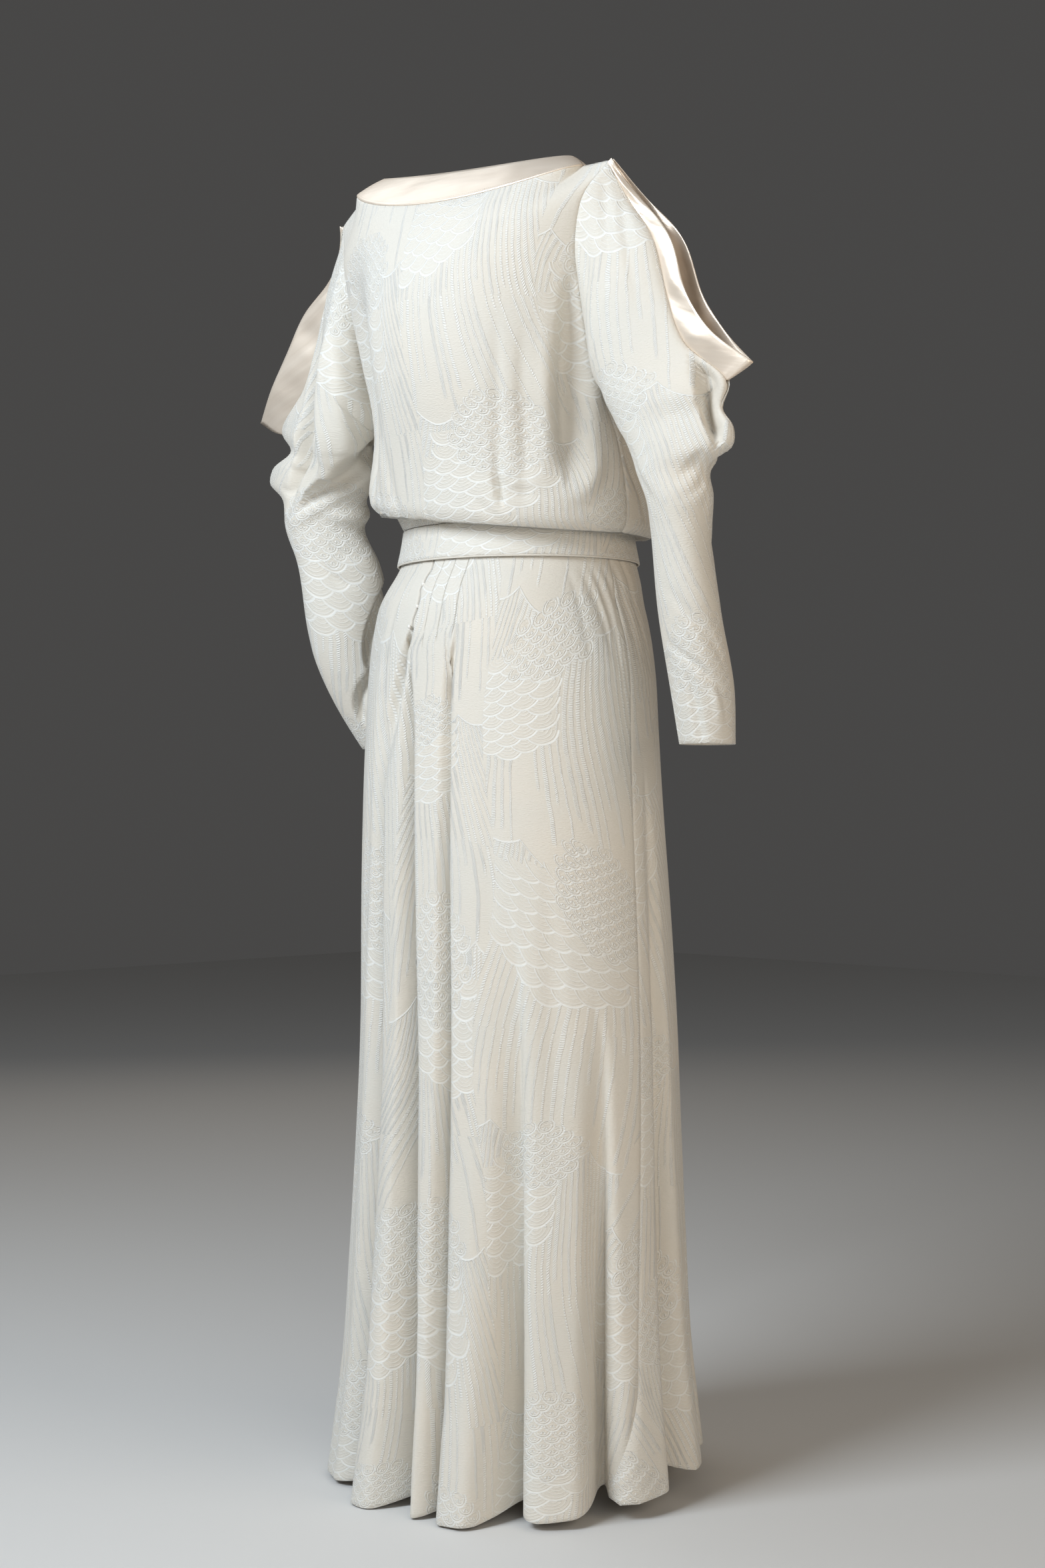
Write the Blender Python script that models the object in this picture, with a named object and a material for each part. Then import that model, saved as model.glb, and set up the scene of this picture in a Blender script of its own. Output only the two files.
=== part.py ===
"""Evening dress of figured silk crepe with satin trims, worn and hollow, in metres.

The dress stands as it does on its wearer: +Z up, its front towards -Y, the wearer's right side
towards -X. The origin is the middle of the shoulder line, where the wearer's shoulders hold it.
"""

import math
from collections import namedtuple

import bmesh
import bpy
import numpy as np

# ---------------------------------------------------------------- driving sizes
MM = 0.001
COLLECTION = "evening_dress"
CREPE = 1.8 * MM  # wall of the figured crepe, interlining and seam layers included
SATIN = 1.5 * MM  # wall of the satin bands
SEAM = 0.2 * MM  # each piece stops this short of a seam
SLEEVE_SEAM = 0.4 * MM  # the sleeves stop this short of their armholes
AXIS_Y = -55 * MM  # the waist and skirt hang this far in front of the shoulder line
NECK_SHARE = 0.74  # share of each half panel's top edge that the neck takes
NECK_TILT = 0.09  # the neck edge rises towards the wearer's left by this slope
PIPING_RADIUS = 0.9 * MM
HEM_BACK = -1317 * MM
HEM_FRONT = -1281 * MM
BUTTON_RADIUS = 3.2 * MM
BUTTON_HEIGHTS = (-397 * MM, -418 * MM, -440 * MM)
BUTTON_OFFSET = 2.6  # degrees from the closure towards the wearer's left
BUTTON_GAP = 0.4 * MM
SLIT_START = 4 * MM  # the slit's edges start this far either side of the shoulder point
BAND_SEAM = 0.5 * MM  # the bands stop this short of the cloth they edge
BAND_START = 1.2 * MM  # the bands' shoulder ends stop this short of the armhole
CORNER_OUT = 2 * MM  # the band's lower edge turns this far beyond the sleeve's slit

# How finely the cloth is modelled: columns across a piece, and steps to each row of a table.
NECK_COLUMNS = 12
SHOULDER_COLUMNS = 2
BODICE_STEPS = (2, 1, 1, 1, 1, 2, 1, 1, 1, 1, 1, 1, 1)
SLEEVE_STEPS = (1, 1, 1, 1, 2, 1, 1, 1, 1, 1, 1, 1, 2, 1)
BELT_COLUMNS = 48
PIPING_SIDES = 4
TUCKED = (0, 3.4, 6.8, 7.2, 10, 13.3, 13.7, 17, 20.3, 20.7, 24)  # degrees from the closure
BACK_RIGHT_PLACES = TUCKED + (28, 32, 36, 40, 44, 49, 54, 59, 64, 69, 74, 78, 82, 87)
BACK_LEFT_PLACES = (0, 3.8, 7.8, 8.2, 12, 16, 20, 24, 28, 33, 38, 43, 48, 53, 58, 63, 68, 73, 77, 82, 87)
FRONT_COLUMNS = 22

# Colours as linear red, green and blue, with roughness.
CREPE_LOOK = ((0.78, 0.75, 0.68), 0.62)
SATIN_LOOK = ((0.72, 0.60, 0.48), 0.30)
PEARL_LOOK = ((0.86, 0.84, 0.78), 0.25)

# ---------------------------------------------------------------- tables
# Bodice rows from the top down, in millimetres and degrees. The edge is the armhole and below it
# the side seam; the middle is the centre back or centre front. Sweep is how far the row turns
# from its middle to its edge, and slope is its rise towards the wearer's left.
BodiceRow = namedtuple("BodiceRow", "edge_x edge_y edge_z mid_y mid_z sweep slope")
BACK_ROWS = (
    BodiceRow(173, 33, -39, 96, -50, 64, 0),
    BodiceRow(164, 31, -80, 107, -84, 66, 0),
    BodiceRow(160, 21, -116, 112, -118, 71, 0),
    BodiceRow(157, 10, -150, 112, -152, 78, 0),
    BodiceRow(156, -2, -184, 108, -186, 84, 0),
    BodiceRow(157, -15, -212, 102, -214, 88, 0),
    BodiceRow(156, -36, -250, 92, -252, 90, 0),
    BodiceRow(156, -48, -285, 84, -290, 90, 0.02),
    BodiceRow(156, -52, -307, 80, -317, 90, 0.06),
    BodiceRow(151, -54, -323, 76, -335, 90, 0.09),
    BodiceRow(143, -55, -331, 70, -344, 90, 0.09),
    BodiceRow(134, -55, -329, 62, -332, 90, 0.04),
    BodiceRow(127.6, -55, -336, 56.2, -336, 90, 0),
)
FRONT_ROWS = (
    BodiceRow(175, -18, -39, -99, -56, 60, 0),
    BodiceRow(165, -40, -80, -122, -90, 60, 0),
    BodiceRow(160, -47, -116, -144, -124, 64, 0),
    BodiceRow(157, -43, -150, -160, -158, 72, 0),
    BodiceRow(156, -31, -184, -167, -190, 82, 0),
    BodiceRow(157, -15, -212, -170, -216, 88, 0),
    BodiceRow(156, -36, -250, -174, -252, 90, 0),
    BodiceRow(156, -48, -285, -181, -288, 90, 0.02),
    BodiceRow(156, -52, -307, -186, -312, 90, 0.06),
    BodiceRow(151, -54, -323, -183, -328, 90, 0.09),
    BodiceRow(143, -55, -331, -177, -336, 90, 0.09),
    BodiceRow(134, -55, -329, -172, -331, 90, 0.04),
    BodiceRow(127.6, -55, -336, -166.2, -336, 90, 0),
)
ARMHOLE_ROWS = 6  # rows of each table that end at the armhole

# The neck opening and the bands' lower edges, in millimetres.
NeckLine = namedtuple("NeckLine", "side_x side_y side_z mid_y mid_z")
BACK_LINE = NeckLine(159, 13, 19, 80, -17)
BACK_EDGE = NeckLine(134, 3, 32, 50, 19)
FRONT_LINE = NeckLine(159, 13, 19, -74, -34)
FRONT_EDGE = NeckLine(134, 3, 32, -49, 2)
SHOULDER_POINT = (196, 16, 3)  # the top of the armhole

# Sleeve rings from the armhole to the cuff, in millimetres. Out is measured from the middle of
# the body; the outer point carries the slit and the seam below it. Peak draws the ring out to
# that point, gap is the width of the slit there, and skew sets the ring's back further out.
SLEEVE_COLUMNS = "outer outer_y outer_z inner inner_y inner_z depth peak gap skew"
SleeveRing = namedtuple("SleeveRing", SLEEVE_COLUMNS)
SLEEVE_RINGS = (
    SleeveRing(213, 0, -38, 164, -15, -213, 46, 0.35, 14, 0),
    SleeveRing(240, -3, -80, 169, -14, -217, 50, 0.50, 20, 0),
    SleeveRing(255, -6, -123, 175, -12, -224, 50, 0.58, 24, 0),
    SleeveRing(276, -7, -172, 181, -9, -234, 47, 0.62, 24, 0),
    SleeveRing(323, -7, -217, 190, -5, -246, 43, 0.62, 9, 0),
    SleeveRing(310, -9, -236, 198, -5, -259, 40, 0.50, 0, 0),
    SleeveRing(334, -10, -255, 207, -6, -271, 40, 0.45, 0, 0),
    SleeveRing(336, -10, -269, 214, -7, -283, 40, 0.42, 0, 0),
    SleeveRing(305, -10, -292, 220, -9, -300, 38, 0.25, 0, 0.08),
    SleeveRing(302, -13, -318, 226, -12, -322, 36, 0.12, 0, 0.18),
    SleeveRing(290, -21, -352, 222, -20, -354, 34, 0.0, 0, 0.3),
    SleeveRing(288, -36, -430, 217, -35, -431, 34, 0.0, 0, 0.35),
    SleeveRing(284, -60, -508, 213, -60, -509, 36, 0.0, 0, 0.3),
    SleeveRing(276, -72, -560, 213, -72, -560, 32, 0.0, 0, 0.3),
)
SLIT_RINGS = 5  # rings from the shoulder that the slit parts

# The slit's free edge from the shoulder to the tip, in millimetres.
RimPoint = namedtuple("RimPoint", "out back_y front_y z")
RIM_POINTS = (
    RimPoint(205, 18, 9, 4),
    RimPoint(225, 3, -9, -36),
    RimPoint(270, 5, -17, -84),
    RimPoint(293, 6, -20, -128),
    RimPoint(322, 5, -20, -166),
    RimPoint(361, -11, -11, -199),
)
SLEEVE_SHIFT = 9 * MM  # the left sleeve's folds stand this far further out, the right's further in
SLEEVE_RISE = 10 * MM  # and the left's this much higher, the right's lower

# Skirt sections from the waist down, in millimetres and degrees. Closure and seam are the angles
# of the centre-back closure and the side seams, from the centre back towards a side.
SkirtRow = namedtuple("SkirtRow", "z half_width half_depth closure seam")
SKIRT_ROWS = (
    SkirtRow(-331, 124.5, 108.0, 3.0, 90),
    SkirtRow(-371, 128.2, 112.8, 2.7, 90),
    SkirtRow(-396, 140, 124, 0.5, 91),
    SkirtRow(-421, 148, 130, -1.8, 92),
    SkirtRow(-450, 154, 133.5, -3.0, 93),
    SkirtRow(-485, 159, 134.5, -2.2, 93),
    SkirtRow(-545, 163, 137, -0.7, 92),
    SkirtRow(-620, 166.5, 141, 0.0, 91),
    SkirtRow(-720, 171, 147, 0.6, 90),
    SkirtRow(-830, 175, 152, 1.1, 89),
    SkirtRow(-950, 178, 158, 1.8, 88),
    SkirtRow(-1070, 182, 165, 2.6, 86),
    SkirtRow(-1180, 187, 172.5, 3.0, 84),
    SkirtRow(-1250, 193, 182, 3.0, 83),
    SkirtRow(-1300, 198, 189, 3.0, 82),
)

# Belt rows and the line of the piping's middle, in millimetres.
BeltRow = namedtuple("BeltRow", "z half_width half_depth")
BELT_ROWS = (
    BeltRow(-337, 128, 111.6),
    BeltRow(-354, 130.3, 114.6),
    BeltRow(-371, 133.5, 118.5),
)
PIPING_ROW = BeltRow(-372.3, 132.6, 117.6)

# Skirt folds: each is a valley (or a ridge, where depth is negative) that starts at a height and
# deepens to the hem. Angles and half-widths in degrees, heights and depths in millimetres.
SkirtFold = namedtuple("SkirtFold", "hem_angle top_angle start half_width depth")
SKIRT_FOLDS = (
    SkirtFold(3, -3, -450, 6.5, 44),
    SkirtFold(-9, -9, -900, 7, -9),
    SkirtFold(-21, -19, -455, 8, 42),
    SkirtFold(-42, -40, -900, 9, -4),
    SkirtFold(-63, -58, -720, 10, 30),
    SkirtFold(-88, -84, -850, 10, 27),
    SkirtFold(16, 17, -446, 5, 15),
    SkirtFold(26, 26, -1000, 7, -8),
    SkirtFold(40, 37, -930, 9, 31),
    SkirtFold(71, 69, -1000, 9, 30),
    SkirtFold(104, 100, -620, 11, 37),
    SkirtFold(128, 124, -1050, 9, 14),
    SkirtFold(160, 156, -820, 10, 28),
    SkirtFold(187, 187, -980, 9, 20),
    SkirtFold(214, 216, -760, 10, 30),
    SkirtFold(243, 243, -1020, 9, 18),
)
HEM_LIFT = 0.22  # a valley's hem rises by this share of its depth

# Stitched tucks: degrees from the closure, with the cloth's upper layer to the wearer's right.
TUCK_ANGLES = (-8.0, 7.0, 13.5, 20.5)
TUCK_HEIGHT = 2.2 * MM
TUCK_REACH = 5.5  # degrees over which the upper layer sinks back
TUCK_END = -452 * MM

# ---------------------------------------------------------------- curves and grids


def smoothstep(value):
    value = np.clip(value, 0.0, 1.0)
    return value * value * (3.0 - 2.0 * value)


def bell(value):
    """1 at the middle, falling smoothly to 0 at -1 and 1."""
    return 0.5 + 0.5 * np.cos(math.pi * np.clip(value, -1.0, 1.0))


def unit(vectors):
    return vectors / np.linalg.norm(vectors, axis=-1, keepdims=True)


def column(table, name):
    return np.array([getattr(row, name) for row in table], float)


def through(knots, values, at):
    """A smooth curve through values (one row a knot), read at the places in at."""
    slopes = np.gradient(values, knots, axis=0)
    span = np.clip(np.searchsorted(knots, at, side="right") - 1, 0, len(knots) - 2)
    width = knots[span + 1] - knots[span]
    t = (at - knots[span]) / width
    shape = (-1,) + (1,) * (values.ndim - 1)
    t, width = t.reshape(shape), width.reshape(shape)
    start, end = values[span], values[span + 1]
    rise_start, rise_end = slopes[span] * width, slopes[span + 1] * width
    return (
        start * (1 + 2 * t) * (1 - t) ** 2
        + rise_start * t * (1 - t) ** 2
        + end * t * t * (3 - 2 * t)
        + rise_end * t * t * (t - 1)
    )


def row_gaps(rows):
    return np.linalg.norm(np.diff(rows, axis=0), axis=2).mean(axis=1)


def loft(rows, steps):
    """Rows of points joined by smooth lines down each column, with so many steps to each gap."""
    gaps = row_gaps(rows)
    knots = np.concatenate([[0.0], np.cumsum(gaps)])
    at = [knots[i] + gaps[i] * np.arange(count) / count for i, count in enumerate(steps)]
    return through(knots, np.array(rows), np.concatenate(at + [knots[-1:]]))


def grid_normals(grid):
    """Unit normals of a grid whose rows run down and columns run right, seen from outside."""
    down = np.gradient(grid, axis=0)
    right = np.gradient(grid, axis=1)
    return unit(np.cross(down, right))


class Panel:
    """A cloth piece: points on its outer face, and the directions that its wall goes through."""

    def __init__(self, grid, thickness, mirrored=False):
        self.grid = grid
        self.thickness = thickness
        self.mirrored = mirrored
        self.normals = -grid_normals(grid) if mirrored else grid_normals(grid)

    def trim(self, line, towards, amount=SEAM):
        """Moves one line of the outline back from its seam, towards the next line in."""
        step = self.grid[towards] - self.grid[line]
        through_wall = self.normals[line]
        step = step - (step * through_wall).sum(axis=-1, keepdims=True) * through_wall
        self.grid[line] = self.grid[line] + amount * unit(step)


def sew(first, first_line, second, second_line):
    """Two panels share their seam's directions, so that their walls meet edge to edge."""
    shared = unit(first.normals[first_line] + second.normals[second_line])
    first.normals[first_line] = shared
    second.normals[second_line] = shared


# ---------------------------------------------------------------- Blender objects


def clear_scene():
    for item in list(bpy.data.objects):
        bpy.data.objects.remove(item, do_unlink=True)


def make_material(name, look):
    colour, roughness = look
    material = bpy.data.materials.new(name)
    material.use_nodes = True
    shader = material.node_tree.nodes["Principled BSDF"]
    shader.inputs["Base Color"].default_value = (*colour, 1.0)
    shader.inputs["Roughness"].default_value = roughness
    shader.inputs["Metallic"].default_value = 0.0
    material.diffuse_color = (*colour, 1.0)
    return material


def add_object(name, mesh, look):
    piece = bpy.data.objects.new(name, mesh)
    piece.data.materials.append(make_material(name + "_finish", look))
    bpy.data.collections[COLLECTION].objects.link(piece)
    return piece


def add_wall(name, panel, look, wrap=False):
    """The panel's closed solid: outer face, inner face and the rim between them."""
    rows, columns = panel.grid.shape[:2]
    inner = panel.grid - panel.thickness * panel.normals
    points = np.concatenate([panel.grid.reshape(-1, 3), inner.reshape(-1, 3)])
    mesh = bpy.data.meshes.new(name)
    shell = bmesh.new()
    corners = [shell.verts.new(point) for point in points]
    layer = rows * columns

    def corner(row, across, side):
        return corners[side * layer + row * columns + across % columns]

    for row in range(rows - 1):
        for across in range(columns if wrap else columns - 1):
            quad = [(row, across), (row + 1, across), (row + 1, across + 1), (row, across + 1)]
            shell.faces.new([corner(*place, 0) for place in quad])
            shell.faces.new([corner(*place, 1) for place in reversed(quad)])
    shell.verts.index_update()
    rim = [edge for edge in shell.edges if edge.is_boundary and edge.verts[0].index < layer]
    for edge in rim:
        loop = edge.link_loops[0]
        start, end = loop.vert, loop.link_loop_next.vert
        shell.faces.new([end, start, corners[start.index + layer], corners[end.index + layer]])
    if panel.mirrored:
        bmesh.ops.reverse_faces(shell, faces=shell.faces[:])
    bmesh.ops.triangulate(shell, faces=shell.faces[:], quad_method="SHORT_EDGE")
    shell.to_mesh(mesh)
    shell.free()
    mesh.shade_smooth()
    return add_object(name, mesh, look)


def add_tube(name, centres, radius, sides, look):
    """A closed round cord through a ring of centres."""
    curve = bpy.data.curves.new(name, "CURVE")
    curve.dimensions = "3D"
    curve.bevel_depth = radius
    curve.bevel_resolution = (sides - 4) // 2
    spline = curve.splines.new("POLY")
    spline.points.add(len(centres) - 1)
    for point, centre in zip(spline.points, centres):
        point.co = (*centre, 1.0)
    spline.use_cyclic_u = True
    return add_object(name, curve, look)


# ---------------------------------------------------------------- bodice


def panel_shares():
    """Where the columns of a bodice panel stand, from -1 to 1 across it, and which are the neck's."""
    neck = np.linspace(-NECK_SHARE, NECK_SHARE, NECK_COLUMNS + 1)
    shoulder = np.linspace(NECK_SHARE, 1.0, SHOULDER_COLUMNS + 1)[1:]
    shares = np.concatenate([-shoulder[::-1], neck, shoulder])
    return shares, slice(SHOULDER_COLUMNS, SHOULDER_COLUMNS + NECK_COLUMNS + 1)


def neck_curve(line, turns, facing):
    """Points round half of the neck. Turns run from -1 to 1, as seen from outside."""
    turn = turns * math.pi / 2
    x = -facing * line.side_x * np.sin(turn)
    y = line.side_y + (line.mid_y - line.side_y) * np.cos(turn)
    z = line.side_z + (line.mid_z - line.side_z) * np.cos(turn) ** 1.5
    points = np.stack([x, y, z], axis=1) * MM
    points[:, 2] += NECK_TILT * points[:, 0]
    return points


def top_row(line, shares, facing):
    """The top edge of a panel: the neck line, then the shoulder seam out to the armhole."""
    turns = np.clip(shares / NECK_SHARE, -1, 1)
    points = neck_curve(line, turns, facing)
    out = np.clip((np.abs(shares) - NECK_SHARE) / (1 - NECK_SHARE), 0, 1)[:, None]
    side = -facing * np.sign(shares)
    corner = np.array(SHOULDER_POINT) * MM * np.stack([side, side * side, side * side], axis=1)
    return points * (1 - out) + corner * out


def bodice_row(row, shares, facing):
    sweep = math.radians(row.sweep)
    turn = sweep * shares
    middle = (np.cos(turn) - math.cos(sweep)) / (1 - math.cos(sweep))
    x = -facing * row.edge_x * np.sin(turn) / math.sin(sweep)
    y = row.edge_y + (row.mid_y - row.edge_y) * middle
    z = row.edge_z + (row.mid_z - row.edge_z) * middle + row.slope * x
    return np.stack([x, y, z], axis=1) * MM


def bodice_panel(table, line, facing):
    """One bodice panel. Facing is 1 for the back and -1 for the front."""
    shares, _ = panel_shares()
    rows = [top_row(line, shares, facing)] + [bodice_row(row, shares, facing) for row in table]
    return Panel(loft(rows, BODICE_STEPS), CREPE)


def neckband(line, edge, facing):
    turns = np.linspace(-1, 1, NECK_COLUMNS + 1)
    rows = [neck_curve(edge, turns, facing), neck_curve(line, turns, facing)]
    return Panel(np.array(rows), SATIN)


# ---------------------------------------------------------------- sleeves and slit bands


def sleeve_ring(ring, shares):
    """One ring, from the slit's back edge round the inside of the arm to its front edge."""
    turn = 2 * math.pi * shares
    outward = 0.5 + 0.5 * np.cos(turn)
    side = np.where(shares < 0.5, 1.0, -1.0)
    x = ring.inner + (ring.outer - ring.inner) * outward + ring.skew * ring.depth * np.sin(turn)
    y = ring.inner_y + (ring.outer_y - ring.inner_y) * outward
    y = y + ring.depth * np.sin(turn) * (1 - ring.peak * outward)
    y = y + 0.5 * ring.gap * side * outward**4
    z = ring.inner_z + (ring.outer_z - ring.inner_z) * outward
    return np.stack([x, y, z], axis=1) * MM


def armhole_ring(back_edge, front_edge):
    """The armhole from the shoulder down the back edge and up the front edge, measured outwards."""
    points = np.concatenate([back_edge, front_edge[::-1][1:]])
    points[:, 0] = np.abs(points[:, 0])
    points[0] += SLIT_START * unit(points[1] - points[0])
    points[-1] += SLIT_START * unit(points[-2] - points[-1])
    steps = np.linalg.norm(np.diff(points, axis=0), axis=1)
    along = np.concatenate([[0.0], np.cumsum(steps)])
    under = len(back_edge) - 1
    back = 0.5 * along[: under + 1] / along[under]
    front = 0.5 + 0.5 * (along[under + 1 :] - along[under]) / (along[-1] - along[under])
    return points, np.concatenate([back, front])


def worn(points, side):
    """Points measured out from the body's middle, set on their side as the sleeve hangs there."""
    drop = -points[..., 2] / MM
    share = smoothstep((drop - 40) / 100) * (1 - smoothstep((drop - 275) / 90))
    share = share * smoothstep((points[..., 0] / MM - 200) / 80)
    points = points + np.stack([SLEEVE_SHIFT * share, 0 * share, SLEEVE_RISE * share], -1) * side
    return points * np.array([side, 1, 1])


def sleeve_panel(armhole, shares, side):
    rows = [armhole] + [sleeve_ring(ring, shares) for ring in SLEEVE_RINGS]
    grid = worn(loft(rows, SLEEVE_STEPS), side)
    return Panel(grid, CREPE, mirrored=side < 0)


def rim_line(side, count, facing):
    """The slit's free edge from the shoulder to just short of the tip."""
    name = "back_y" if facing > 0 else "front_y"
    points = np.stack([column(RIM_POINTS, each) for each in ("out", name, "z")], axis=1) * MM
    steps = np.linalg.norm(np.diff(points, axis=0), axis=1)
    knots = np.concatenate([[0.0], np.cumsum(steps)]) / steps.sum()
    return worn(through(knots, points, np.linspace(0, 1, count)), side)


def slit_band(sleeve, side):
    """The U-shaped band: down the slit's back edge to the tip, and up its front edge."""
    count = sum(SLEEVE_STEPS[:SLIT_RINGS]) + 1
    back_rim = rim_line(side, count + 1, 1)
    front_rim = rim_line(side, count + 1, -1)
    back_seam = sleeve.grid[:count, 0]
    front_seam = sleeve.grid[:count, -1]
    corner = 0.5 * (back_seam[-1] + front_seam[-1]) + np.array([side * CORNER_OUT, 0, 0])
    rim = np.concatenate([back_rim, front_rim[:-1][::-1]])
    seam = np.concatenate([back_seam, corner[None], front_seam[::-1]])
    return Panel(np.array([rim, seam]), SATIN, mirrored=side > 0)


# ---------------------------------------------------------------- skirt


def skirt_values(name, heights):
    return through(-column(SKIRT_ROWS, "z") * MM, column(SKIRT_ROWS, name), -heights)


def fold_depths(angles, heights):
    """How far the folds draw the skirt in, in metres, and how far they lift its hem."""
    drawn = np.zeros_like(angles)
    hem = SKIRT_ROWS[-1].z
    for fold in SKIRT_FOLDS:
        fallen = np.clip((fold.start * MM - heights) / ((fold.start - hem) * MM), 0, 1)
        middle = fold.top_angle + (fold.hem_angle - fold.top_angle) * fallen
        away = (angles - middle + 180) % 360 - 180
        half_width = fold.half_width * (0.45 + 0.55 * fallen)
        drawn = drawn + fold.depth * MM * fallen**0.6 * bell(away / half_width)
    lift = HEM_LIFT * np.maximum(drawn, 0) * smoothstep((SKIRT_ROWS[0].z * MM - heights) / 0.95)
    return drawn, lift


def tuck_rise(from_closure, heights):
    """The stitched tucks' upper layers, in metres."""
    rise = np.zeros_like(from_closure)
    shown = smoothstep((-0.343 - heights) / 0.02) * smoothstep((heights - TUCK_END) / 0.03)
    for angle in TUCK_ANGLES:
        past = from_closure - angle
        rise = rise + np.where(past > 0, 1 - np.clip(past / TUCK_REACH, 0, 1), 0)
    return TUCK_HEIGHT * rise * shown


def skirt_surface(angles, heights, from_closure):
    """Points of the skirt at angles from the centre back (in degrees, to the wearer's right)."""
    half_width = skirt_values("half_width", heights) * MM
    half_depth = skirt_values("half_depth", heights) * MM
    drawn, lift = fold_depths(angles, heights)
    out = tuck_rise(from_closure, heights) - drawn
    turn = np.radians(angles)
    top, hem = SKIRT_ROWS[0].z * MM, SKIRT_ROWS[-1].z * MM
    level = 0.5 * (HEM_BACK + HEM_FRONT) + 0.5 * (HEM_BACK - HEM_FRONT) * np.cos(turn)
    fallen = (top - heights) / (top - hem)
    x = -(half_width + out) * np.sin(turn)
    y = AXIS_Y + (half_depth + out) * np.cos(turn)
    return np.stack([x, y, heights + (level - hem) * fallen + lift], axis=-1)


def skirt_panel(places, first_edge, last_edge):
    """A skirt panel whose columns stand at places (0 to 1) from one edge line to the other."""
    heights = column(SKIRT_ROWS, "z") * MM
    places, heights = np.meshgrid(places, heights)
    closure = skirt_values("closure", heights.ravel()).reshape(heights.shape)
    seam = skirt_values("seam", heights.ravel()).reshape(heights.shape)
    edges = {"closure": closure, "right seam": seam, "left seam": -seam}
    edges["left seam, round"] = 360 - seam
    angles = edges[first_edge] + (edges[last_edge] - edges[first_edge]) * places
    flat = skirt_surface(angles.ravel(), heights.ravel(), (angles - closure).ravel())
    return Panel(flat.reshape(*heights.shape, 3), CREPE)


# ---------------------------------------------------------------- belt and buttons


def belt_ring(row, columns):
    turn = np.linspace(0, 2 * math.pi, columns, endpoint=False)
    x = -row.half_width * np.sin(turn)
    y = row.half_depth * np.cos(turn)
    z = row.z + 0 * turn
    return np.stack([x, y, z], axis=1) * MM + np.array([0, AXIS_Y, 0])


def add_button(name, height):
    """A pearl button on the left back, beside the closure."""
    level = np.array([height])
    closure = skirt_values("closure", level)
    here, right, below = (
        skirt_surface(closure - BUTTON_OFFSET + turn, level + drop, 0 * closure - BUTTON_OFFSET)[0]
        for turn, drop in ((0, 0), (0.5, 0), (0, -0.002))
    )
    outward = unit(np.cross(below - here, right - here))
    centre = here + (BUTTON_RADIUS + BUTTON_GAP) * outward
    mesh = bpy.data.meshes.new(name)
    ball = bmesh.new()
    bmesh.ops.create_uvsphere(ball, u_segments=10, v_segments=6, radius=BUTTON_RADIUS)
    ball.to_mesh(mesh)
    ball.free()
    mesh.shade_smooth()
    add_object(name, mesh, PEARL_LOOK).location = centre


# ---------------------------------------------------------------- the dress

clear_scene()
bpy.context.scene.collection.children.link(bpy.data.collections.new(COLLECTION))

# Bodice: a back and a front panel, sewn at the sides. The satin neckband, a back and a front
# piece, is sewn to the panels' top edges.
bodice_back = bodice_panel(BACK_ROWS, BACK_LINE, 1)
bodice_front = bodice_panel(FRONT_ROWS, FRONT_LINE, -1)
shares, neck_columns = panel_shares()
underarm = sum(BODICE_STEPS[:ARMHOLE_ROWS])
side_rows = slice(underarm, None)
sew(bodice_back, (side_rows, -1), bodice_front, (side_rows, 0))
sew(bodice_back, (side_rows, 0), bodice_front, (side_rows, -1))
neckband_back = neckband(BACK_LINE, BACK_EDGE, 1)
neckband_front = neckband(FRONT_LINE, FRONT_EDGE, -1)
sew(neckband_back, -1, bodice_back, (0, neck_columns))
sew(neckband_front, -1, bodice_front, (0, neck_columns))

# Shoulder seams, from the neck edge out to the armhole on each side.
SHOULDER_SEAMS = (
    (slice(SHOULDER_COLUMNS + 1), slice(None, -SHOULDER_COLUMNS - 2, -1), 0, -1),
    (slice(-SHOULDER_COLUMNS - 1, None), slice(SHOULDER_COLUMNS, None, -1), -1, 0),
)
for back_columns, front_columns, back_end, front_end in SHOULDER_SEAMS:
    sew(bodice_back, (0, back_columns), bodice_front, (0, front_columns))
    neck_side = neck_columns.start if back_end == 0 else neck_columns.stop - 1
    neckband_back.normals[-1, back_end] = bodice_back.normals[0, neck_side]
    neckband_front.normals[-1, front_end] = bodice_back.normals[0, neck_side]
    sew(neckband_back, (0, back_end), neckband_front, (0, front_end))

# Sleeves: each set into its armhole, with the satin band round its slit.
armhole_rows = slice(0, underarm + 1)
walls = {}
for side, name, back_column, front_column in ((-1, "right", -1, 0), (1, "left", 0, -1)):
    back_edge = bodice_back.grid[armhole_rows, back_column]
    front_edge = bodice_front.grid[armhole_rows, front_column]
    armhole, around = armhole_ring(back_edge, front_edge)
    sleeve = sleeve_panel(armhole, around, side)
    back_normals = bodice_back.normals[armhole_rows, back_column]
    front_normals = bodice_front.normals[armhole_rows, front_column]
    shared = np.concatenate([back_normals, front_normals[::-1][1:]])
    shared[1:-1] = unit(shared[1:-1] + sleeve.normals[0, 1:-1])
    sleeve.normals[0] = shared
    back_normals[:] = shared[: underarm + 1]
    front_normals[:] = shared[underarm:][::-1]
    closed = slice(sum(SLEEVE_STEPS[: SLIT_RINGS + 1]), None)
    sew(sleeve, (closed, 0), sleeve, (closed, -1))
    band = slit_band(sleeve, side)
    sleeve.trim(0, 1, SLEEVE_SEAM)
    sleeve.trim((slice(None), 0), (slice(None), 1))
    sleeve.trim((slice(None), -1), (slice(None), -2))
    band.trim(-1, 0, BAND_SEAM)
    band.trim((slice(None), 0), (slice(None), 1), BAND_START)
    band.trim((slice(None), -1), (slice(None), -2), BAND_START)
    walls["sleeve_" + name] = (sleeve, CREPE_LOOK)
    walls["slit_band_" + name] = (band, SATIN_LOOK)

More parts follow.
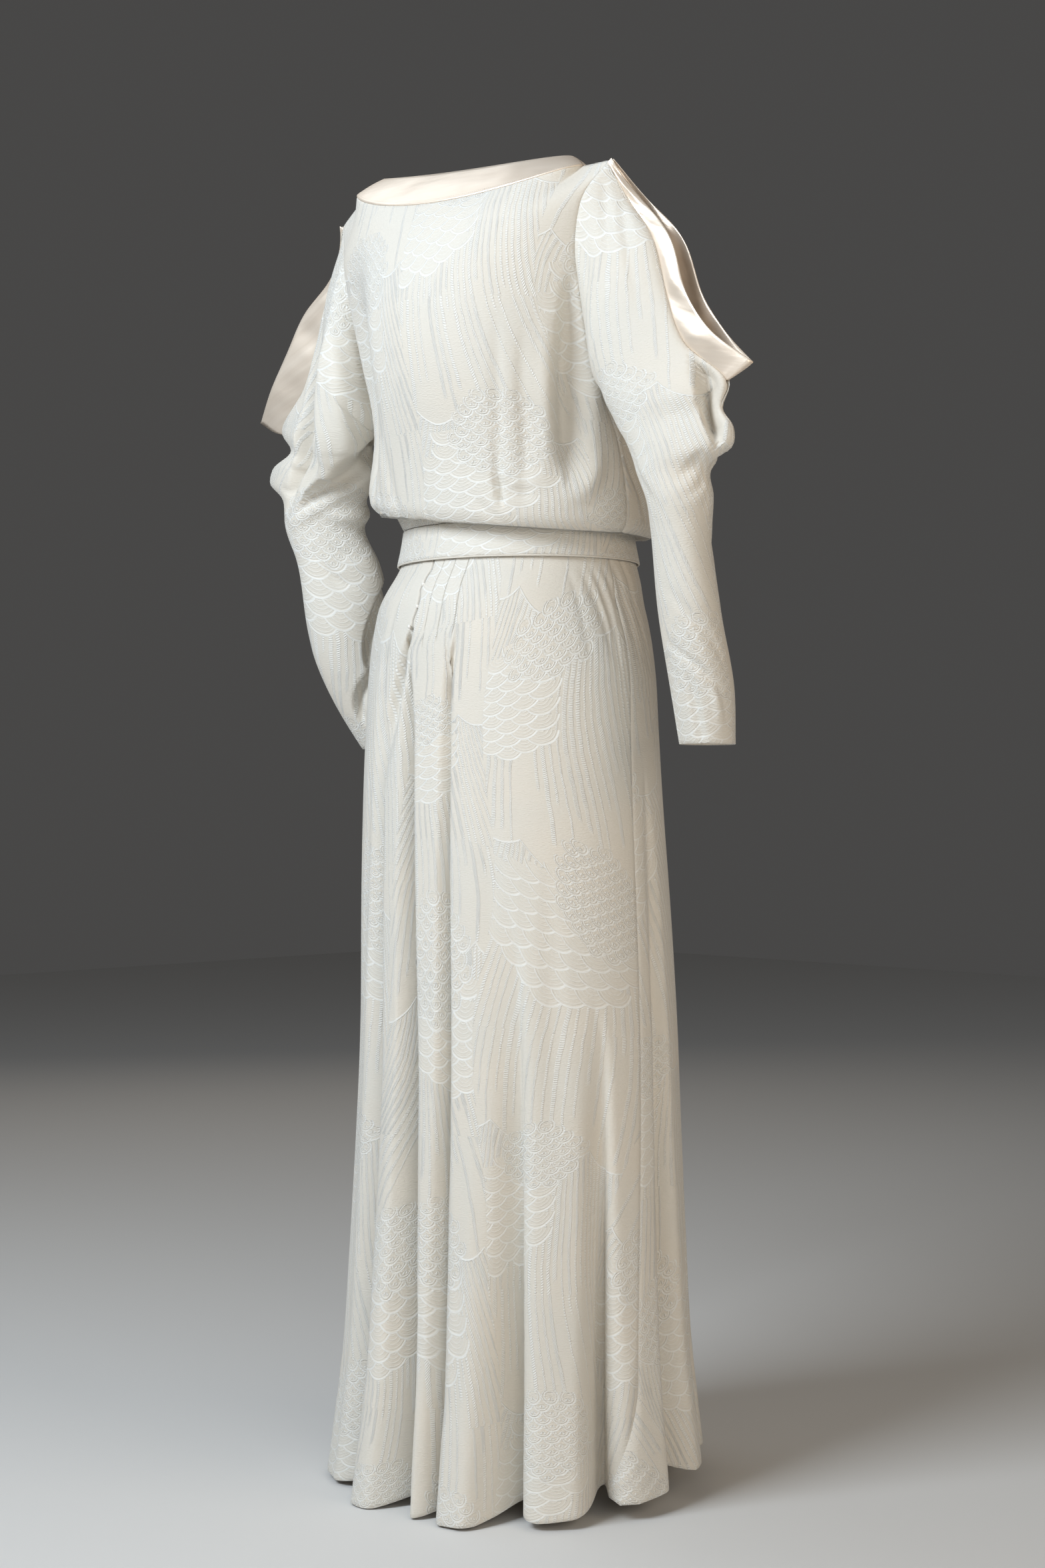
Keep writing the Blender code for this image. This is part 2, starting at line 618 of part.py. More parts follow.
for panel in (bodice_back, bodice_front):
    panel.trim(0, 1)
    panel.trim((slice(None), 0), (slice(None), 1))
    panel.trim((slice(None), -1), (slice(None), -2))
for band in (neckband_back, neckband_front):
    band.trim(-1, 0, BAND_SEAM)
    band.trim((slice(None), 0), (slice(None), 1))
    band.trim((slice(None), -1), (slice(None), -2))
walls["bodice_back"] = (bodice_back, CREPE_LOOK)
walls["bodice_front"] = (bodice_front, CREPE_LOOK)
walls["neckband_back"] = (neckband_back, SATIN_LOOK)
walls["neckband_front"] = (neckband_front, SATIN_LOOK)

# Skirt: two back panels that meet at the centre-back closure, and a front panel.
right_places = np.array(BACK_RIGHT_PLACES) / BACK_RIGHT_PLACES[-1]
left_places = 1 - np.array(BACK_LEFT_PLACES[::-1]) / BACK_LEFT_PLACES[-1]
skirt_right = skirt_panel(right_places, "closure", "right seam")
skirt_left = skirt_panel(left_places, "left seam", "closure")
skirt_front = skirt_panel(np.linspace(0, 1, FRONT_COLUMNS + 1), "right seam", "left seam, round")
every_row = slice(None)
sew(skirt_left, (every_row, -1), skirt_right, (every_row, 0))
sew(skirt_right, (every_row, -1), skirt_front, (every_row, 0))
sew(skirt_front, (every_row, -1), skirt_left, (every_row, 0))
for name, panel in (
    ("skirt_back_right", skirt_right),
    ("skirt_back_left", skirt_left),
    ("skirt_front", skirt_front),
):
    panel.trim((every_row, 0), (every_row, 1))
    panel.trim((every_row, -1), (every_row, -2))
    walls[name] = (panel, CREPE_LOOK)

# Belt: a band of the dress cloth with a piped lower edge.
belt_grid = np.array([belt_ring(row, BELT_COLUMNS) for row in BELT_ROWS])
belt_turns = np.concatenate([belt_grid[:, -1:], belt_grid, belt_grid[:, :1]], axis=1)
belt = Panel(belt_grid, CREPE)
belt.normals = grid_normals(belt_turns)[:, 1:-1]
piping_line = belt_ring(PIPING_ROW, BELT_COLUMNS)

for name, (panel, look) in walls.items():
    add_wall(name, panel, look)
add_wall("belt", belt, CREPE_LOOK, wrap=True)
add_tube("belt_piping", piping_line, PIPING_RADIUS, PIPING_SIDES, CREPE_LOOK)
for number, height in enumerate(BUTTON_HEIGHTS, 1):
    add_button(f"button_{number}", height)
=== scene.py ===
"""The looks of the evening dress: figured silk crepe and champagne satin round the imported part."""

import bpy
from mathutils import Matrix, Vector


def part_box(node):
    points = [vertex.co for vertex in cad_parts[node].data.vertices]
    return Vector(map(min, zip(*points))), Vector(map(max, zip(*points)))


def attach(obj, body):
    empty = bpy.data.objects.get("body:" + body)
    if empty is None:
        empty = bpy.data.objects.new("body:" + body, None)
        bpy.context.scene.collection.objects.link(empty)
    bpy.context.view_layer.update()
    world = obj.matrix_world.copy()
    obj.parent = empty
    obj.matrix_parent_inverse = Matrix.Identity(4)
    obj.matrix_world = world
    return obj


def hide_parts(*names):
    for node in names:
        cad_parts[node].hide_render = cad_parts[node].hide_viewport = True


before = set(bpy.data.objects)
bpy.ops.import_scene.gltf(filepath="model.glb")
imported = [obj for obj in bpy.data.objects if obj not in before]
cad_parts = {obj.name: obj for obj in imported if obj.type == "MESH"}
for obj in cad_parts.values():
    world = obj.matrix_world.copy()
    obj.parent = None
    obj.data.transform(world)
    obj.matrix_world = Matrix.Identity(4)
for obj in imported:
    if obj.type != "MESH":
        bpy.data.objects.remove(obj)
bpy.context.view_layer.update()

import math
from collections import namedtuple

import bmesh
import bpy
import numpy as np
from mathutils import Vector

# -------- room
# A plain pale floor just under the hem, one soft lamp high on the left of the back view and
# weaker ones round the other sides, and a level camera behind the wearer's right shoulder.
scene = bpy.context.scene
scene.view_settings.view_transform = "Standard"
LEFT_OF_VIEW = Vector((0.7071, 0.7071, 0.0))
TOWARDS_CAMERA = Vector((-0.7071, 0.7071, 0.0))
LAMP_AIM = Vector((0.0, -0.05, -0.6))


def add_object(name, data):
    shown = bpy.data.objects.new(name, data)
    scene.collection.objects.link(shown)
    return shown


def new_mesh(name, points, faces):
    mesh = bpy.data.meshes.new(name)
    mesh.from_pydata(points.tolist(), [], faces.tolist())
    mesh.shade_smooth()
    return mesh


def new_finish(name, settings):
    """A material, its nodes and its shader, on which values that are the same all over are set."""
    material = bpy.data.materials.new(name)
    material.use_nodes = True
    shader = material.node_tree.nodes["Principled BSDF"]
    for socket, value in settings.items():
        shader.inputs[socket].default_value = value
    return material, material.node_tree, shader


camera_lens = bpy.data.cameras.new("camera")
camera_lens.lens = 55.1
camera_lens.sensor_width = 36.0
camera_lens.shift_x = 0.003
camera = add_object("camera", camera_lens)
camera.location = (-1.768, 1.713, -0.599)
camera.rotation_euler = (math.radians(90), 0, math.radians(-135))
scene.camera = camera


def add_lamp(name, left, forward, up, size, power, colour):
    """A square soft lamp, placed from the middle of the dress and turned to face it."""
    lamp = bpy.data.lights.new(name, "AREA")
    lamp.size = size
    lamp.energy = power
    lamp.color = colour
    lamp_object = add_object(name, lamp)
    offset = left * LEFT_OF_VIEW + forward * TOWARDS_CAMERA + Vector((0, 0, up))
    lamp_object.location = LAMP_AIM + offset
    lamp_object.rotation_euler = (-offset).to_track_quat("-Z", "Y").to_euler()


add_lamp("key_lamp", 1.6, 1.3, 1.5, 1.2, 56, (0.90, 0.99, 1.08))
add_lamp("left_lamp", 1.9, 1.7, 1.0, 1.4, 7, (0.92, 0.99, 1.06))
add_lamp("front_lamp", -0.6, 2.5, 0.2, 1.4, 18, (1.0, 0.94, 0.86))
add_lamp("right_lamp", -2.0, 1.4, 0.9, 1.6, 13, (1.0, 0.83, 0.64))
add_lamp("rim_lamp", 1.2, -0.8, 2.0, 1.0, 6, (0.92, 0.99, 1.06))
add_lamp("far_lamp", 0.6, -3.0, 1.4, 2.4, 7, (1.0, 0.85, 0.68))

world = bpy.data.worlds.new("studio")
world.use_nodes = True
background = world.node_tree.nodes["Background"]
background.inputs["Color"].default_value = (0.5, 0.49, 0.48, 1)
background.inputs["Strength"].default_value = 0.13
scene.world = world

FLOOR_LEVEL = -1.3185
FLOOR_REACH = 6
floor_mesh = bpy.data.meshes.new("floor")
floor_shape = bmesh.new()
bmesh.ops.create_grid(floor_shape, x_segments=1, y_segments=1, size=FLOOR_REACH)
floor_shape.to_mesh(floor_mesh)
floor_shape.free()
FLOOR_PAINT = {"Base Color": (0.72, 0.71, 0.69, 1), "Roughness": 0.7}
floor_mesh.materials.append(new_finish("floor_finish", FLOOR_PAINT)[0])
floor = add_object("floor", floor_mesh)
floor.location = (0, 0, FLOOR_LEVEL)

# -------- bodice
# A back and a front panel of ivory figured silk crepe, cut in one piece each, seamed at the
# shoulders and sides, and gathered into the waist, where the fullness bags over the belt.
MM = 0.001
CREPE = 1.3 * MM  # wall of the cloth
SEAM = 0.12 * MM  # each panel stops this short of a seam
NECK_SHARE = 0.74  # share of each half panel's top edge that the neck takes
NECK_TILT = 0.09  # the neck edge rises towards the wearer's left by this slope
NECK_COLUMNS = 100
SHOULDER_COLUMNS = 14
CLOTH_STEP = 4.2  # millimetres between the rows of a panel, about


def read_rows(kind, table):
    """Reads a table with one row of numbers to a line."""
    return [kind(*map(float, line.split())) for line in table.strip().splitlines()]


# Rows of the panels from the top down, in millimetres and degrees: where the row ends at the
# armhole or side seam, its middle, how far it turns, and its rise towards the wearer's left.
BodiceRow = namedtuple("BodiceRow", "edge_x edge_y edge_z mid_y mid_z sweep slope")
BACK_ROWS = read_rows(BodiceRow, """
173 33 -39 96 -50 64 0
164 31 -80 107 -84 66 0
160 21 -116 112 -118 71 0
157 10 -150 112 -152 78 0
156 -2 -184 108 -186 84 0
157 -15 -212 102 -214 88 0
156 -36 -250 92 -252 90 0
156 -48 -285 84 -290 90 0.02
157 -52 -307 81 -311 90 0.09
153 -54 -322 78 -327 90 0.13
144 -55 -330 71 -335 90 0.13
133 -55 -324 61 -325 90 0.1
127.6 -55 -336 56.2 -336 90 0
""")
FRONT_ROWS = read_rows(BodiceRow, """
175 -18 -39 -99 -56 60 0
165 -40 -80 -122 -90 60 0
160 -47 -116 -144 -124 64 0
157 -43 -150 -160 -158 72 0
156 -31 -184 -167 -190 82 0
157 -15 -212 -170 -216 88 0
156 -36 -250 -174 -252 90 0
156 -48 -285 -181 -288 90 0.02
157 -52 -307 -186 -312 90 0.09
153 -54 -322 -183 -327 90 0.13
144 -55 -330 -177 -335 90 0.13
133 -55 -324 -172 -326 90 0.1
127.6 -55 -336 -166.2 -336 90 0
""")
LEFT_BAG = 7  # millimetres by which the back bags out more at the wearer's left
BAGGED = (190, 280, 328, 336)  # millimetres below the shoulder where it starts to, does, and stops
NECK_STEP = 0.9 * MM  # the crepe lies this much lower where the neckband laps over it
ARMHOLE_ROWS = 6  # rows of each table that end at the armhole
NeckLine = namedtuple("NeckLine", "side_x side_y side_z mid_y mid_z")
BACK_LINE = NeckLine(159, 13, 19, 80, -17)
FRONT_LINE = NeckLine(159, 13, 19, -74, -34)
SHOULDER_POINT = (196, 16, 3)  # the top of the armhole

# Creases pressed into the cloth. Each is a line of points on the flat cloth, in
# millimetres: across from the panel's middle line, up from its foot, how deep it lies there
# (a ridge has a negative depth) and half its width. The lean before its points makes its right
# side the steep one.
Crease = namedtuple("Crease", "lean points")


def read_creases(table):
    """Reads a table of creases, each ended by a semicolon."""
    found = []
    for entry in table.split(";"):
        lean, points = entry.split(":")
        points = [[float(number) for number in point.split()] for point in points.split(",")]
        found.append(Crease(float(lean), points))
    return found


BACK_CREASES = read_creases("""
-0.35: 190 236 0 16, 188 194 11 23, 182 148 20 26, 174 105 21 26, 167 68 14 23, 163 40 0 18;
0: 164 200 0 10, 158 140 -2.5 12, 148 80 -3 12, 140 30 0 12;
-0.2: 142 190 0 9, 135 140 2.2 11, 126 80 3 11, 119 25 1.5 11, 117 5 0 9;
0.2: 118 205 0 9, 112 140 2 10, 103 88 2.8 10, 96 50 4 8, 95 30 9 6, 97 14 7 5;
0: 93 30 0 5, 106 24 4.5 5, 124 20 4.5 5, 150 16 0 5;
0: 60 24 0 6, 76 8 2 6, 90 -4 2.2 5;
0: -46 130 0 10, -50 80 1.8 11, -44 35 2.4 11, -38 8 1.5 9;
0: -78 140 0 12, -86 90 3 14, -84 45 4 13, -78 12 2 10;
0: -118 150 0 12, -124 100 4 15, -116 50 3.5 13, -110 10 2 9;
0.35: -182 225 0 15, -178 165 9 21, -168 105 11 22, -158 55 0 16;
0: -106 275 0 50, -109 208 20 66, -112 160 27 74, -113 128 31 76, -112 100 27 68, -108 75 15 54,
  -102 40 7 42, -96 5 1 32;
0: 8 60 0 10, 4 25 1.6 9, 6 0 2 8;
0: 205 70 0 8, 196 45 -3 12, 180 24 -4 14, 150 16 0 12
""")
FRONT_CREASES = read_creases("""
0: -214 110 0 9, -216 70 6 12, -206 35 6 11, -196 8 3 8;
0: -178 150 0 12, -182 95 5 14, -172 45 6 12, -166 5 3 9;
0: -120 110 0 10, -126 60 4 12, -122 10 3 9;
0: -84 70 0 8, -88 35 3 9, -84 2 3 7;
0: -30 90 0 10, -36 45 3.5 11, -34 4 3 8;
0: 22 76 0 9, 24 38 3 10, 20 0 3 8;
0: 72 120 0 11, 80 60 4.5 12, 78 8 3 9;
0: 128 100 0 10, 134 50 4 11, 128 4 3 8;
0: 176 150 0 12, 184 90 6 14, 176 40 6 12, 168 6 3 9;
0: 212 100 0 9, 214 60 6 12, 202 20 4 9;
0: -150 250 0 10, -110 226 3 13, -50 206 4 14, 10 200 4 14, 70 210 3.5 14, 120 228 2 12,
  160 250 0 10;
0: -190 220 0 9, -170 180 4 12, -140 150 0 12;
0: 192 220 0 9, 172 182 4 12, 140 156 0 12
""")


def rise(value, start, whole):
    """0 before start and 1 past whole, with a smooth step between them. Either may be higher."""
    share = np.clip((value - start) / (whole - start), 0.0, 1.0)
    return share * share * (3.0 - 2.0 * share)


def within(value, start, full, less, end):
    """1 from full to less, falling smoothly to 0 at start and end."""
    return rise(value, start, full) * rise(value, end, less)


def bell(value):
    """1 at the middle, falling smoothly to 0 at -1 and 1."""
    return 0.5 + 0.5 * np.cos(math.pi * np.clip(value, -1.0, 1.0))


def unit(vectors):
    return vectors / np.linalg.norm(vectors, axis=-1, keepdims=True)


def column(table, name):
    return np.array([getattr(row, name) for row in table], float)


def walked(line):
    """How far along a line of points each of them lies."""
    return np.concatenate([[0.0], np.cumsum(np.linalg.norm(np.diff(line, axis=0), axis=1))])


def through(knots, values, at):
    """A smooth curve through values (one row a knot), read at the places in at."""
    slopes = np.gradient(values, knots, axis=0)
    span = np.clip(np.searchsorted(knots, at, side="right") - 1, 0, len(knots) - 2)
    width = knots[span + 1] - knots[span]
    t = (at - knots[span]) / width
    shape = (-1,) + (1,) * (values.ndim - 1)
    t, width = t.reshape(shape), width.reshape(shape)
    start, end = values[span], values[span + 1]
    rise_start, rise_end = slopes[span] * width, slopes[span + 1] * width
    return (
        start * (1 + 2 * t) * (1 - t) ** 2
        + rise_start * t * (1 - t) ** 2
        + end * t * t * (3 - 2 * t)
        + rise_end * t * t * (t - 1)
    )


def gaps_between(lines):
    return np.linalg.norm(np.diff(np.array(lines), axis=0), axis=2).mean(axis=1)


def loft(lines, steps):
    """Lines of points joined smoothly down each column, with so many steps to each gap."""
    gaps = gaps_between(lines)
    knots = np.concatenate([[0.0], np.cumsum(gaps)])
    at = [knots[i] + gaps[i] * np.arange(count) / count for i, count in enumerate(steps)]
    return through(knots, np.array(lines), np.concatenate(at + [knots[-1:]]))


def fine_steps(lines):
    """Steps to each gap between lines, so that they are about the cloth step apart."""
    return [max(2, round(gap / MM / CLOTH_STEP)) for gap in gaps_between(lines)]


def grid_normals(grid):
    """Unit normals of a grid whose rows run down and columns run right, seen from outside."""
    down = np.gradient(grid, axis=0)
    right = np.gradient(grid, axis=1)
    return unit(np.cross(down, right))


LEAST_GRAIN = 0.35  # keeps the threads' map in scale where the cloth faces along the grain
CREASE_STEPS = 25


class Panel:
    """A cloth piece: points on its outer face, and the directions that its wall goes through."""

    def __init__(self, grid, thickness, mirrored=False, grain=(0, 0, -1)):
        self.grid = grid
        self.thickness = thickness
        self.mirrored = mirrored
        self.normals = -grid_normals(grid) if mirrored else grid_normals(grid)
        self.measure(np.array(grain, float))

    def measure(self, grain):
        """Where each point lies on the flat cloth: across from the middle column, up from the foot.

        The cloth's lengthwise threads follow the grain as closely as its surface lets them."""
        along = grain - (self.normals @ grain)[..., None] * self.normals
        along = along / np.maximum(np.linalg.norm(along, axis=-1, keepdims=True), LEAST_GRAIN)
        threads = np.stack([np.cross(self.normals, along), -along])
        middle = self.grid.shape[1] // 2

        def run(axis):
            near = np.delete(threads, -1, axis=axis + 1)
            far = np.delete(threads, 0, axis=axis + 1)
            steps = np.diff(self.grid, axis=axis)[None] * (0.5 * (near + far))
            return np.insert(np.cumsum(steps.sum(axis=-1), axis=axis + 1), 0, 0.0, axis=axis + 1)

        lines = run(1)
        lines = lines - lines[:, :, middle : middle + 1]
        column = run(0)[:, :, middle : middle + 1]
        self.across, self.up = lines + column - column[:, -1:]

    def trim(self, top=True):
        """Moves the sides, and the top, back from their seams towards the next line in."""
        whole = slice(None)
        sides = (((whole, 0), (whole, 1)), ((whole, -1), (whole, -2)))
        for line, towards in (((0, 1),) if top else ()) + sides:
            step = self.grid[towards] - self.grid[line]
            through_wall = self.normals[line]
            step = step - (step * through_wall).sum(axis=-1, keepdims=True) * through_wall
            self.grid[line] = self.grid[line] + SEAM * unit(step)

    def press(self, creases, hold=0.0):
        """Presses creases into the panel, but not at its sides or top, and less within hold."""
        depth = np.zeros_like(self.across)
        for crease in creases:
            knots = np.array(crease.points, float) * MM
            places = np.linspace(0, len(knots) - 1, CREASE_STEPS)
            line = through(np.arange(len(knots)), knots, places)
            pressed = np.zeros_like(depth)
            for start, end in zip(line[:-1], line[1:]):
                run = end - start
                x, y = self.across - start[0], self.up - start[1]
                share = np.clip((x * run[0] + y * run[1]) / (run[0] ** 2 + run[1] ** 2), 0, 1)
                x, y = x - share * run[0], y - share * run[1]
                side = np.sign(y * run[0] - x * run[1])
                width = (start[3] + share * run[3]) * (1 - crease.lean * side)
                here = (start[2] + share * run[2]) * bell(np.hypot(x, y) / width)
                pressed = np.where(np.abs(here) > np.abs(pressed), here, pressed)
            depth += pressed
        left = np.abs(self.across - self.across[:, :1])
        right = np.abs(self.across - self.across[:, -1:])
        if hold:
            depth *= rise(np.minimum(left, right), 0, hold) * rise(self.fallen(), 0, hold)
        self.grid = self.grid - depth[..., None] * self.normals

    def fallen(self):
        """How far each point lies below the panel's top line."""
        steps = np.linalg.norm(np.diff(self.grid, axis=0), axis=2)
        return np.insert(np.cumsum(steps, axis=0), 0, 0.0, axis=0)

    def dip(self, distance, width=2.2 * MM, depth=0.5 * MM):
        """Draws the cloth in along a seam, by its distance from there."""
        drawn = depth * np.exp(-((distance / width) ** 2))
        self.grid = self.grid - drawn[..., None] * self.normals

    def dip_sides(self):
        self.dip(np.abs(self.across - self.across[:, :1]))
        self.dip(np.abs(self.across - self.across[:, -1:]))


def sew(first, first_line, second, second_line):
    """Two panels share their seam's directions, so that their walls meet edge to edge."""
    shared = unit(first.normals[first_line] + second.normals[second_line])
    first.normals[first_line] = shared
    second.normals[second_line] = shared


def outline(rows, columns):
    """The grid's border as point numbers, in the order in which its faces pass them."""
    index = np.arange(rows * columns).reshape(rows, columns)
    return np.concatenate([index[:-1, 0], index[-1, :-1], index[:0:-1, -1], index[0, :0:-1]])


LIP = 0.35  # the wall's edge is rounded by this share of its thickness


def add_wall(name, panel, finishes):
    """The panel's thin closed shell: outer face, inner face and a rounded edge between them."""
    rows, columns = panel.grid.shape[:2]
    inner = panel.grid - panel.thickness * panel.normals
    layer = rows * columns
    here = np.arange(layer).reshape(rows, columns)
    corners = (here[:-1, :-1], here[1:, :-1], here[1:, 1:], here[:-1, 1:])
    outer_faces = np.stack(corners, axis=-1).reshape(-1, 4)
    middle = 0.5 * (panel.grid + inner)
    outward = np.zeros_like(middle)
    outward[:, 0] += unit(middle[:, 0] - middle[:, 1])
    outward[:, -1] += unit(middle[:, -1] - middle[:, -2])
    outward[0] += unit(middle[0] - middle[1])
    outward[-1] += unit(middle[-1] - middle[-2])
    edge = outline(rows, columns)
    lip = 2 * layer + np.arange(len(edge))
    edge_after, lip_after = np.roll(edge, -1), np.roll(lip, -1)
    outer_rim = np.stack([edge_after, edge, lip, lip_after], axis=1)
    inner_rim = np.stack([lip_after, lip, edge + layer, edge_after + layer], axis=1)
    faces = np.concatenate([outer_faces, outer_faces[:, ::-1] + layer, outer_rim, inner_rim])
    if panel.mirrored:
        faces = faces[:, ::-1]
    bulge = LIP * panel.thickness * unit(outward.reshape(-1, 3)[edge])
    lips = middle.reshape(-1, 3)[edge] + bulge
    points = np.concatenate([panel.grid.reshape(-1, 3), inner.reshape(-1, 3), lips])
    mesh = new_mesh(name, points, faces)
    flat = np.stack([panel.across, panel.up], axis=-1).reshape(-1, 2)
    flats = np.concatenate([flat, flat, flat[edge]]).astype(np.float32)
    numbers = np.zeros(len(mesh.loops), np.int32)
    mesh.loops.foreach_get("vertex_index", numbers)
    mesh.uv_layers.new(name="cut").data.foreach_set("uv", flats[numbers].ravel())
    for finish in finishes:
        mesh.materials.append(finish)
    if len(finishes) > 1:
        side = np.zeros(len(faces), np.int32)
        side[len(outer_faces) : 2 * len(outer_faces)] = 1
        mesh.polygons.foreach_set("material_index", side)
    piece = add_object(name, mesh)
    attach(piece, "root")
    return piece


class Field:
    """A number that changes over the surface, worked out by the Math nodes of one node tree."""

    def __init__(self, tree, socket):
        self.tree = tree
        self.socket = socket

    def maths(self, operation, *others):
        node = self.tree.nodes.new("ShaderNodeMath")
        node.operation = operation
        for slot, value in zip(node.inputs, (self, *others)):
            if isinstance(value, Field):
                self.tree.links.new(value.socket, slot)
            else:
                slot.default_value = value
        return Field(self.tree, node.outputs[0])

    def __add__(self, other):
        return self.maths("ADD", other)

    def __sub__(self, other):
        return self.maths("SUBTRACT", other)

    def __mul__(self, other):
        return self.maths("MULTIPLY", other)

    def __truediv__(self, other):
        return self.maths("DIVIDE", other)

    def over(self, limit, soft):
        """0 well under the limit and 1 well over it, with a soft step between."""
        risen = (self - limit) / (2 * soft) + 0.5
        return risen.maths("SMOOTH_MAX", 0.0, 0.1).maths("MINIMUM", 1.0)

    def under(self, limit, soft):
        return self.over(limit, soft).rest()

    def rest(self):
        return self * -1.0 + 1.0

    def highest(self, *others):
        field = self
        for other in others:
            field = field.maths("MAXIMUM", other)
        return field

    def between(self, low, high):
        return self * (high - low) + low

    def length(self, other):
        return (self * self + other * other).maths("SQRT")


def add_noise(tree, vector, scale, detail):
    """Noise over the cloth, drawn out along its directions where it has a scale for each."""
    noise = tree.nodes.new("ShaderNodeTexNoise")
    if isinstance(scale, tuple):
        stretch = tree.nodes.new("ShaderNodeVectorMath")
        stretch.operation = "MULTIPLY"
        stretch.inputs[1].default_value = (*scale, 1.0)
        tree.links.new(vector, stretch.inputs[0])
        vector, scale = stretch.outputs[0], 1.0
    noise.inputs["Scale"].default_value = scale
    noise.inputs["Detail"].default_value = detail
    tree.links.new(vector, noise.inputs["Vector"])
    return noise


def noise_field(tree, vector, scale, detail):
    return Field(tree, add_noise(tree, vector, scale, detail).outputs[0])


def flat_place(tree):
    """The place on the flat cloth, in metres."""
    place = tree.nodes.new("ShaderNodeUVMap")
    place.uv_map = "cut"
    return place.outputs["UV"]


# The figure of the crepe, in millimetres: clusters of small scales and of long plumes, with
# hatched rays running down from each to the next, set out in half-drop rows.
REPEAT_WIDE, REPEAT_HIGH = 168.0, 262.0
CLUSTER_LEAN = 0.7
CLUSTER_HEIGHT = 132.0  # of the lowest one's middle in its repeat
SCALE_WIDE, SCALE_DROP = 17.0, 7.0
SCALE_RIM, SECOND_RIM = 0.84, (0.58, 0.72)  # shares of a scale's radius
PLUME_WIDE, PLUME_DROP = 36.0, 8.0
PLUME_RIM, PLUME_RIBS = 0.91, 5.0  # the rim's share, and how many ribs there are inside it
PLUMES_BELOW = 44.0  # a cluster of plumes lies this much below its scales
WAVE_LONG, WAVE_DEEP = 56.0, 16.0
RAY_FOCUS, RAY_TURN = 520.0, 0.019
RAY_CUT = 150.0  # the most by which a ray starts short of the plume line
HATCH_STEP = 2.1
DRIFTS = ((3.6, 110.0), (60.0, 1.6))  # scales of the figure's drift, and how far each moves it


def random_field(group, seed):
    node = group.nodes.new("ShaderNodeTexWhiteNoise")
    node.noise_dimensions = "1D"
    group.links.new(seed.socket, node.inputs["W"])
    return Field(group, node.outputs["Value"])


def lapped_scales(x, y, wide, drop, middle, reach):
    """Overlapping round scales whose own middles fall in an oval. Puts out how far from its
    scale's middle a point lies, from 0 to 1, where it lies on one, and its angle from below."""
    found = []
    for lower in (0.0, 1.0):
        row = (y / drop).maths("FLOOR") - lower
        offset = (row * 0.5).maths("FRACT") * wide
        scale_x = ((x + offset) / wide).maths("FLOOR") * wide + wide / 2 - offset
        scale_y = row * drop + wide / 2
        away_x, away_y = x - scale_x, scale_y - y
        out = away_x.length(away_y) / (wide / 2)
        oval = ((scale_x - middle[0]) / reach[0]).length((scale_y - middle[1]) / reach[1])
        on = out.maths("LESS_THAN", 1.0) * oval.maths("LESS_THAN", 1.0)
        found.append((out, away_x, away_y, on))
    top, low = found
    rest = top[3].rest()
    out, away_x, away_y = (high * top[3] + under * rest for high, under in zip(top[:3], low[:3]))
    return out, top[3].highest(low[3]), away_x.maths("ARCTAN2", away_y)


